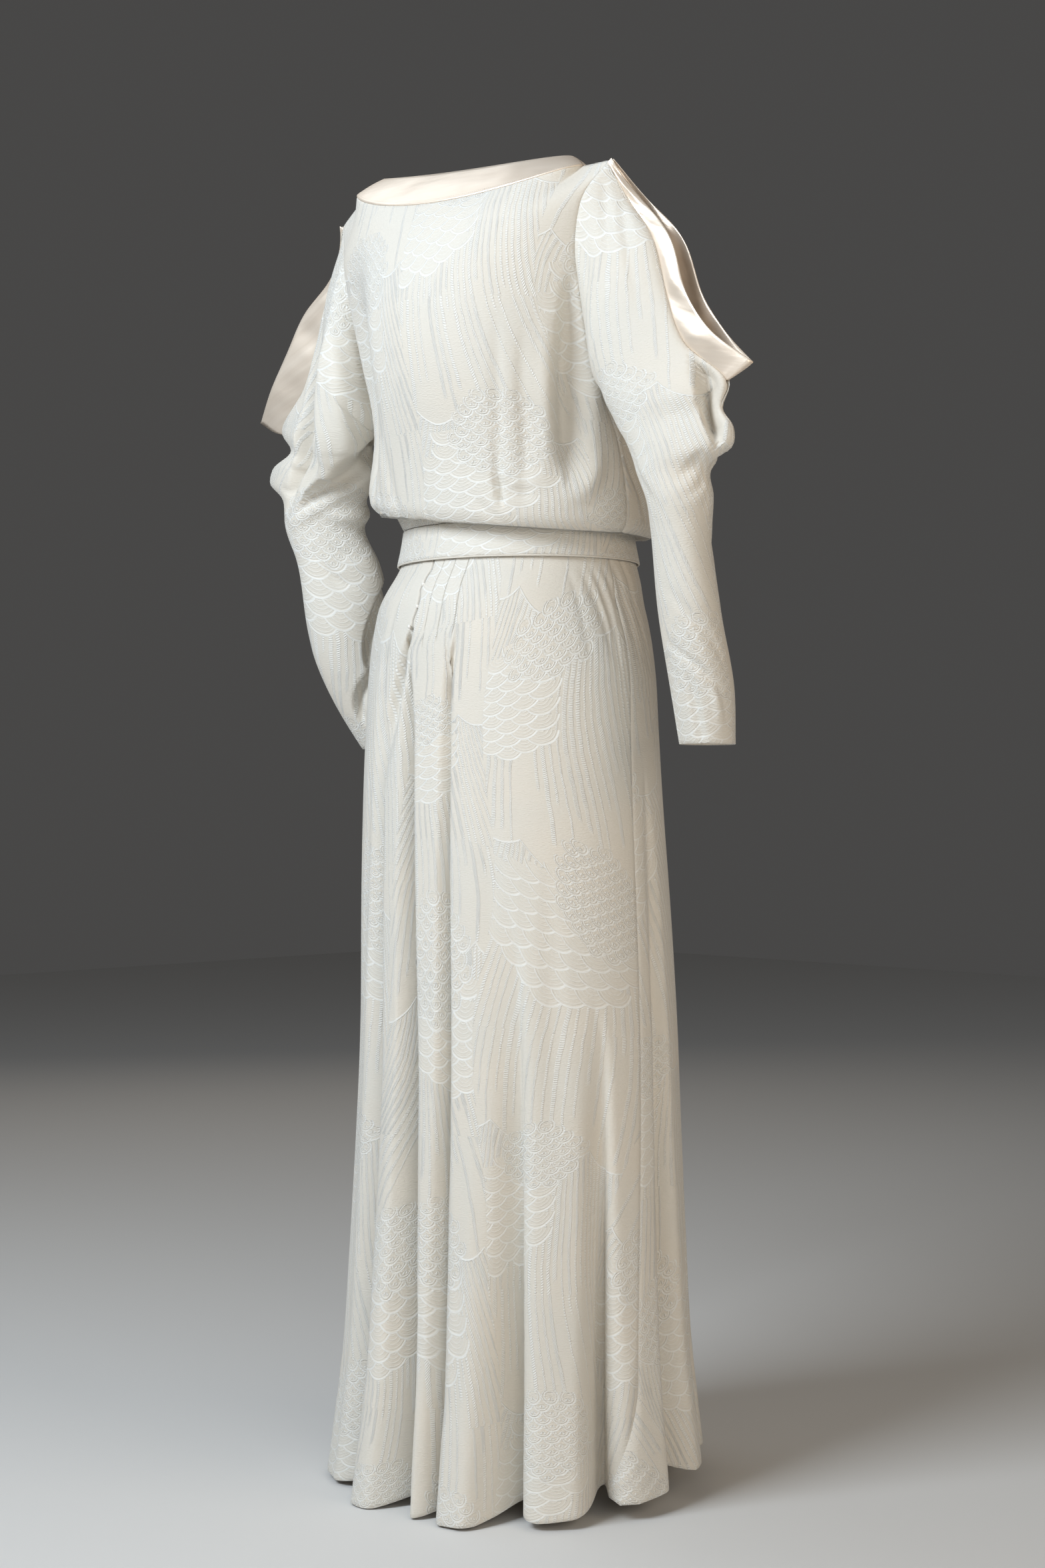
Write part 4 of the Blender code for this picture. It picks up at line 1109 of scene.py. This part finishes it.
# Each fold is a valley (or a ridge, where depth is negative) that starts at a height and deepens
# to the hem. Lean sets its floor to one side, so that one wall is steep and the other gentle.
# Lap swings the cloth beside the steep wall over the valley, by this many degrees. Ease is 0.6
# for a fold that opens sharply from a tuck, and more for one that fades in.
SkirtFold = namedtuple("SkirtFold", "hem_angle top_angle start half_width depth lean lap ease")
SKIRT_FOLDS = read_rows(SkirtFold, """
3 -5 -445 9 60 0.2 1.5 0.55
-9 -10 -800 7 -8 0 0 1.2
-22 -22 -450 13 62 0.45 5 0.75
-44 -42 -800 9 -5 0 0 1.2
-63 -58 -620 11 40 0.3 2 1
-88 -84 -750 11 30 0.2 1 1.2
17 14 -448 7 36 0.45 4 0.6
27 26 -900 8 -9 0 0 1.2
41 37 -700 13 50 0.55 6.5 1.2
72 68 -800 13 47 0.55 8 1.3
104 100 -580 11 38 0.3 1.5 1
128 124 -950 9 16 0 0 1.2
160 156 -700 11 34 -0.4 -3 1.1
187 187 -850 10 26 0.3 2 1.3
214 216 -640 11 36 0.4 3 1.1
243 243 -900 10 24 -0.3 -2 1.3
""")
HEM_LIFT = 0.22  # a valley's hem rises by this share of its depth
LIFT_FALL = 0.95  # metres below the skirt's top over which it comes to that
LAP_REACH = 1.3  # of the steep wall's width that a lap swings
TUCK_ANGLES = (-8.0, 0.0, 7.0, 13.5, 20.5)  # degrees from the closure, itself the second
TUCK_ENDS = (412, 462, 468, 461, 452)  # millimetres down
TUCK_HEIGHT = 0.6 * MM
TUCK_GROOVE = 2.4 * MM
TUCK_REACH = 4.0  # degrees over which the upper layer sinks back
TUCKS_TOP, TUCK_FADE = 343, 20  # millimetres down, under the belt, where they come out
CLOSURE_TURN = 0.55  # the closure's groove is wider than a tuck's by one over this share
CLOSURE_DEPTH = 2.8  # and deeper by this share
GROOVE_TURNS = (-1.0, -0.62, -0.5, -0.15, -0.02)
GROOVE_DEPTHS = (0, 0.1, 1, 1, 0)
UNDERLAP = 2.6  # degrees by which the left panel runs on under the right one at the closure
UNDERLAPPED = (343, 363, 435, 455)  # millimetres down
# Where the closure's edge wavers, in millimetres, and how far, in degrees.
ClosureWave = namedtuple("ClosureWave", "z aside")
CLOSURE_WAVES = read_rows(ClosureWave, """
-331 0
-371 0
-384 0.8
-389 0
-395 0.2
-401 -0.6
-408 0.7
-421 0.8
-434 -0.2
-443 0.8
-452 0.3
-462 0
""")
WAVE_REACH = 5.0  # degrees from the closure over which its waves die away
HIP_SHIFT = 5.5 * MM * 0.7071  # the hips stand this much to the wearer's left, and back
HIPS_SHIFTED = (370, 420, 550, 900)  # millimetres down
KEPT = 24.0  # degrees beside the closure where the panel's lines keep their distance from it
SKIRT_CREASES = {
    "back_right": read_creases("""
-0.3: -36 870 0 4, -38 855 3.5 4.5, -42 838 4.5 6.5, -47 815 3 9, -51 785 1 11, -54 755 0 12;
0: 84 930 0 4, 100 905 1.6 6, 118 870 1.8 7, 130 830 0 7;
0: 96 932 0 4, 112 908 2 6, 128 872 2 7, 138 820 0 8;
0: 70 932 0 4, 84 900 1 6, 96 860 1 7, 104 820 0 7;
0: 110 932 0 4, 124 912 1.8 5, 136 886 1.6 6, 142 850 0 7;
0: 60 640 0 14, 66 540 1.6 18, 74 430 2 20, 82 330 0 20;
0: 0 760 0 14, 4 620 1.5 18, 10 480 1.8 20, 14 380 0 18
"""),
    "back_left": read_creases("""
-0.2: 76 874 0 4, 72 860 6 6, 66 838 12 9, 60 810 11 12, 53 770 7 15, 47 715 0 16;
0: 44 905 0 4, 38 880 1.6 6, 32 840 1.4 8, 30 800 0 9;
0: -60 930 0 5, -70 900 1.6 7, -80 860 1.4 8, -86 820 0 8;
0: -90 930 0 5, -104 896 2 7, -114 850 1.6 8, -120 800 0 8;
0: 8 800 0 12, 4 700 1.6 15, 0 600 2 16, -4 500 0 16
"""),
    "front": read_creases("""
0: -188 925 0 4, -186 895 2 7, -190 850 2.2 9, -196 800 0 9;
0: -170 925 0 4, -166 890 2.2 7, -168 840 2 9, -172 790 0 9;
0: -120 930 0 5, -112 890 1.8 8, -110 840 1.6 9, -112 780 0 9;
0: -50 930 0 5, -46 880 1.6 8, -48 820 1.4 9, -52 760 0 9;
0: 24 930 0 5, 22 885 1.6 8, 26 830 1.5 9, 30 770 0 9;
0: 96 930 0 5, 92 880 1.8 8, 96 820 1.6 9, 102 760 0 9;
0: 160 928 0 4, 158 890 2.2 7, 164 845 2 9, 170 790 0 9;
0: 186 926 0 4, 186 890 2 7, 192 850 2 9, 198 800 0 9;
0: 0 560 0 16, 6 460 2.4 20, 10 360 2 22, 10 280 0 20
"""),
}
BACK_COLUMNS = 100
FRONT_COLUMNS = 160
TUCKS_END = -475
TOP_ROW_COUNT = 64  # closer rows as far down as the tucks reach
ROW_COUNT = 196
SPREAD_HEIGHTS = (-0.95, -1.15, -1.3)  # metres, where the panels' lines stand evenly apart


def skirt_values(name, heights):
    return through(-column(SKIRT_ROWS, "z") * MM, column(SKIRT_ROWS, name), -heights)


def spread(fallen):
    """How wide a fold has opened, as a share of its width at the hem: to a point at its top."""
    return (0.45 + 0.55 * fallen) * (0.3 + 0.7 * rise(fallen, 0, 0.12))


def fold_depths(angles, heights):
    """How far the folds draw the skirt in, lift its hem, in metres, and swing it, in degrees."""
    drawn = np.zeros_like(angles)
    swing = np.zeros_like(angles)
    hem = SKIRT_ROWS[-1].z
    for fold in SKIRT_FOLDS:
        fallen = np.clip((fold.start * MM - heights) / ((fold.start - hem) * MM), 0, 1)
        middle = fold.top_angle + (fold.hem_angle - fold.top_angle) * fallen
        away = (angles - middle + 180) % 360 - 180
        away = away / (fold.half_width * spread(fallen)) - fold.lean
        away = np.where(away < 0, away / (1 + fold.lean), away / (1 - fold.lean))
        drawn = drawn + fold.depth * MM * fallen**fold.ease * bell(away)
        steep = away * np.sign(fold.lap)
        lapped = np.where(steep > 0, bell(2 * steep / LAP_REACH - 1), 0)
        swing = swing - fold.lap * fallen ** (fold.ease - 0.1) * lapped
    lowered = rise(SKIRT_ROWS[0].z * MM - heights, 0, LIFT_FALL)
    lift = HEM_LIFT * np.maximum(drawn, 0) * lowered
    return drawn, lift, swing


def tuck_rise(from_closure, heights):
    """The stitched tucks' upper layers and the closure's, in metres, with a groove under each."""
    raised = np.zeros_like(from_closure)
    for angle, end in zip(TUCK_ANGLES, TUCK_ENDS):
        turn, deeper = (CLOSURE_TURN, CLOSURE_DEPTH) if angle == 0 else (1, 1)
        past = (from_closure - angle) * turn
        shown = within(-heights / MM, TUCKS_TOP, TUCKS_TOP + TUCK_FADE, end - TUCK_FADE, end)
        lifted = np.where(past > -0.02, 1 - np.clip(past / TUCK_REACH, 0, 1), 0)
        groove = TUCK_GROOVE * deeper * np.interp(past, GROOVE_TURNS, GROOVE_DEPTHS)
        raised = raised + shown * (TUCK_HEIGHT * lifted - groove)
    return raised


def skirt_surface(angles, heights, from_closure):
    """Points of the skirt at angles from the centre back (in degrees, to the wearer's right)."""
    half_width = skirt_values("half_width", heights) * MM
    half_depth = skirt_values("half_depth", heights) * MM
    drawn, lift, swing = fold_depths(angles, heights)
    out = tuck_rise(from_closure, heights) - drawn
    turn = np.radians(angles + swing)
    top, hem = SKIRT_ROWS[0].z * MM, SKIRT_ROWS[-1].z * MM
    level = 0.5 * (HEM_BACK + HEM_FRONT) + 0.5 * (HEM_BACK - HEM_FRONT) * np.cos(turn)
    fallen = (top - heights) / (top - hem)
    shift = HIP_SHIFT * within(-heights / MM, *HIPS_SHIFTED)
    shift = shift * (1 + 0.7 * bell((angles + 45) / 70))
    x = shift - (half_width + out) * np.sin(turn)
    y = shift + AXIS_Y + (half_depth + out) * np.cos(turn)
    return np.stack([x, y, heights + (level - hem) * fallen + lift], axis=-1)


def evenly_along(first, last, count):
    """Angles from first to last that stand evenly along the folded cloth low on the skirt."""
    angles = np.linspace(first, last, 4000)
    lengths = 0
    for height in SPREAD_HEIGHTS:
        points = skirt_surface(angles, np.full_like(angles, height), angles + 90)
        lengths = lengths + np.linalg.norm(np.diff(points, axis=0), axis=1)
    along = np.concatenate([[0.0], np.cumsum(lengths)])
    return np.interp(np.linspace(0, along[-1], count + 1), along, angles)


def skirt_panel(places, first_edge, last_edge):
    """A skirt panel. Its lines stand at places, in degrees at the waist, between two edges."""
    top_heights = np.linspace(SKIRT_ROWS[0].z, TUCKS_END, TOP_ROW_COUNT + 1)[:-1]
    heights = np.linspace(TUCKS_END, SKIRT_ROWS[-1].z, ROW_COUNT + 1)
    heights = np.concatenate([top_heights, heights]) * MM
    places, heights = np.meshgrid(places, heights)
    closure = skirt_values("closure", heights.ravel()).reshape(heights.shape)
    seam = skirt_values("seam", heights.ravel()).reshape(heights.shape)
    edges = {
        "closure": closure,
        "right seam": seam,
        "left seam": -seam,
        "left seam, round": 360 - seam,
    }
    low, high = edges[first_edge], edges[last_edge]
    low_place, high_place = places[:, :1], places[:, -1:]
    width = high_place - low_place
    share = (places - low_place) / width
    if first_edge == "closure":
        share = rise(places, low_place + KEPT, high_place)
    if last_edge == "closure":
        share = rise(places, low_place, high_place - KEPT)
    angles = low + (places - low_place) + (high - low - width) * share
    from_closure = angles - closure
    fallen = -column(CLOSURE_WAVES, "z")
    at = np.clip(-heights[:, 0] / MM, fallen[0], fallen[-1])
    wave = through(fallen, column(CLOSURE_WAVES, "aside"), at)[:, None]
    angles = angles + wave * rise(np.abs(from_closure), WAVE_REACH, 0)
    if last_edge == "closure":
        under = rise(from_closure, -0.9, 0)
        from_closure = np.minimum(from_closure, -0.5)
        angles = angles + UNDERLAP * within(-heights / MM, *UNDERLAPPED) * under
    points = skirt_surface(angles.ravel(), heights.ravel(), from_closure.ravel())
    return Panel(points.reshape(*heights.shape, 3), CREPE)


def with_tucks(places, closure):
    """Adds close lines at both sides of each tuck's edge."""
    tucked = [
        closure + angle + turn / (CLOSURE_TURN if angle == 0 else 1)
        for angle in TUCK_ANGLES
        for turn in (*GROOVE_TURNS, 0.2)
    ]
    tucked = [place for place in tucked if places[0] < place < places[-1]]
    kept = [place for place in places[1:-1] if all(abs(place - each) > 0.5 for each in tucked)]
    return np.array(sorted([places[0], *kept, *tucked, places[-1]]))


CLOSURE_TOP, SEAM_TOP = SKIRT_ROWS[0].closure, SKIRT_ROWS[0].seam
right_places = with_tucks(evenly_along(CLOSURE_TOP, SEAM_TOP, BACK_COLUMNS), CLOSURE_TOP)
left_places = with_tucks(evenly_along(-SEAM_TOP, CLOSURE_TOP, BACK_COLUMNS), CLOSURE_TOP)
front_places = evenly_along(SEAM_TOP, 360 - SEAM_TOP, FRONT_COLUMNS)
skirt_right = skirt_panel(right_places, "closure", "right seam")
skirt_left = skirt_panel(left_places, "left seam", "closure")
skirt_front = skirt_panel(front_places, "right seam", "left seam, round")
every_row = slice(None)
sew(skirt_left, (every_row, -1), skirt_right, (every_row, 0))
sew(skirt_right, (every_row, -1), skirt_front, (every_row, 0))
sew(skirt_front, (every_row, -1), skirt_left, (every_row, 0))
for name, panel, flat, area, phase in (
    ("back_right", skirt_right, (0.4, 0.99), 0.315, 0),
    ("back_left", skirt_left, (0.4, 0.99), 0.315, 90),
    ("front", skirt_front, (0.74, 0.99), 0.53, 0),
):
    panel.press(SKIRT_CREASES[name])
    panel.across += phase * MM
    panel.dip_sides()
    panel.trim(top=False)
    piece = add_wall("crepe_skirt_" + name, panel, crepe)
    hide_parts("skirt_" + name)
    hem_line = 0.8 * panel.grid[-2] + 0.2 * panel.grid[-3]
    add_stitches("hem_stitches_" + name, hem_line, panel.normals[-2], 3.2 * MM)

# -------- belt
# A stiffened band of the crepe round the waist, flared a little at its lower edge, which is
# finished with a fine cord covered in the same cloth.
BeltRow = namedtuple("BeltRow", "z half_width half_depth")
BELT_ROWS = read_rows(BeltRow, """
-337 128 111.6
-354 130.3 114.6
-371 133.5 118.5
""")
PIPING_ROW = BeltRow(-372.3, 132.6, 117.6)
PIPING_RADIUS = 0.9 * MM
BELT_COLUMNS = 240


def belt_ring(row):
    turn = np.linspace(-math.pi, math.pi, BELT_COLUMNS + 1)
    x = -row.half_width * np.sin(turn)
    y = row.half_depth * np.cos(turn)
    z = row.z + 0 * turn
    return np.stack([x, y, z], axis=1) * MM + np.array([0, AXIS_Y, 0])


belt = Panel(loft([belt_ring(row) for row in BELT_ROWS], (5, 5)), CREPE)
sew(belt, (slice(None), 0), belt, (slice(None), -1))
belt.trim(top=False)
belt_piece = add_wall("belt_band", belt, crepe)
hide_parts("belt")

piping_curve = bpy.data.curves.new("belt_cord", "CURVE")
piping_curve.dimensions = "3D"
piping_curve.bevel_depth = PIPING_RADIUS
piping_curve.bevel_resolution = 3
piping_path = piping_curve.splines.new("POLY")
piping_points = belt_ring(PIPING_ROW)[:-1]
piping_path.points.add(len(piping_points) - 1)
for point, centre in zip(piping_path.points, piping_points):
    point.co = (*centre, 1.0)
piping_path.use_cyclic_u = True
piping_curve.materials.append(crepe_face)
piping = add_object("belt_cord", piping_curve)
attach(piping, "root")
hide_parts("belt_piping")

# -------- pearls
# Three small pearl buttons, sewn by their shanks beside the closure at the centre back, on the
# panel that laps under, and done up through loops at the other panel's edge.
pearl, pearl_tree, pearl_shader = new_finish("pearl", {"Roughness": 0.22, "Coat Weight": 0.6})
pearl_place = pearl_tree.nodes.new("ShaderNodeTexCoord").outputs["Object"]
pearl_cloud = noise_field(pearl_tree, pearl_place, 260.0, 3.0).over(0.5, 0.2)
pearl_colour = mixed(pearl_tree, pearl_cloud, (0.80, 0.76, 0.70), (0.90, 0.89, 0.86))
finish_surface(pearl_tree, pearl_shader, pearl_colour, None)
PEARL_RADIUS = 1.9 * MM
PEARL_SHIFT = 4.2 * MM  # the finished closure runs this much nearer the wearer's right
PEARL_COLUMNS = slice(-12, None)  # of the left back panel, beside the closure
beside_closure = skirt_left.grid[:, PEARL_COLUMNS].reshape(-1, 3)
cloth_normals = skirt_left.normals[:, PEARL_COLUMNS].reshape(-1, 3)
for number in (1, 2, 3):
    low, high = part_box(f"button_{number}")
    centre = np.array((low + high) / 2) + np.array([HIP_SHIFT - PEARL_SHIFT, HIP_SHIFT, 0])
    nearest = np.linalg.norm(beside_closure - centre, axis=1).argmin()
    mesh = bpy.data.meshes.new(f"pearl_{number}")
    ball = bmesh.new()
    bmesh.ops.create_icosphere(ball, subdivisions=4, radius=PEARL_RADIUS)
    ball.to_mesh(mesh)
    ball.free()
    mesh.shade_smooth()
    mesh.materials.append(pearl)
    piece = add_object(f"pearl_{number}", mesh)
    piece.location = beside_closure[nearest] + 0.8 * PEARL_RADIUS * cloth_normals[nearest]
    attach(piece, "root")
    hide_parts(f"button_{number}")
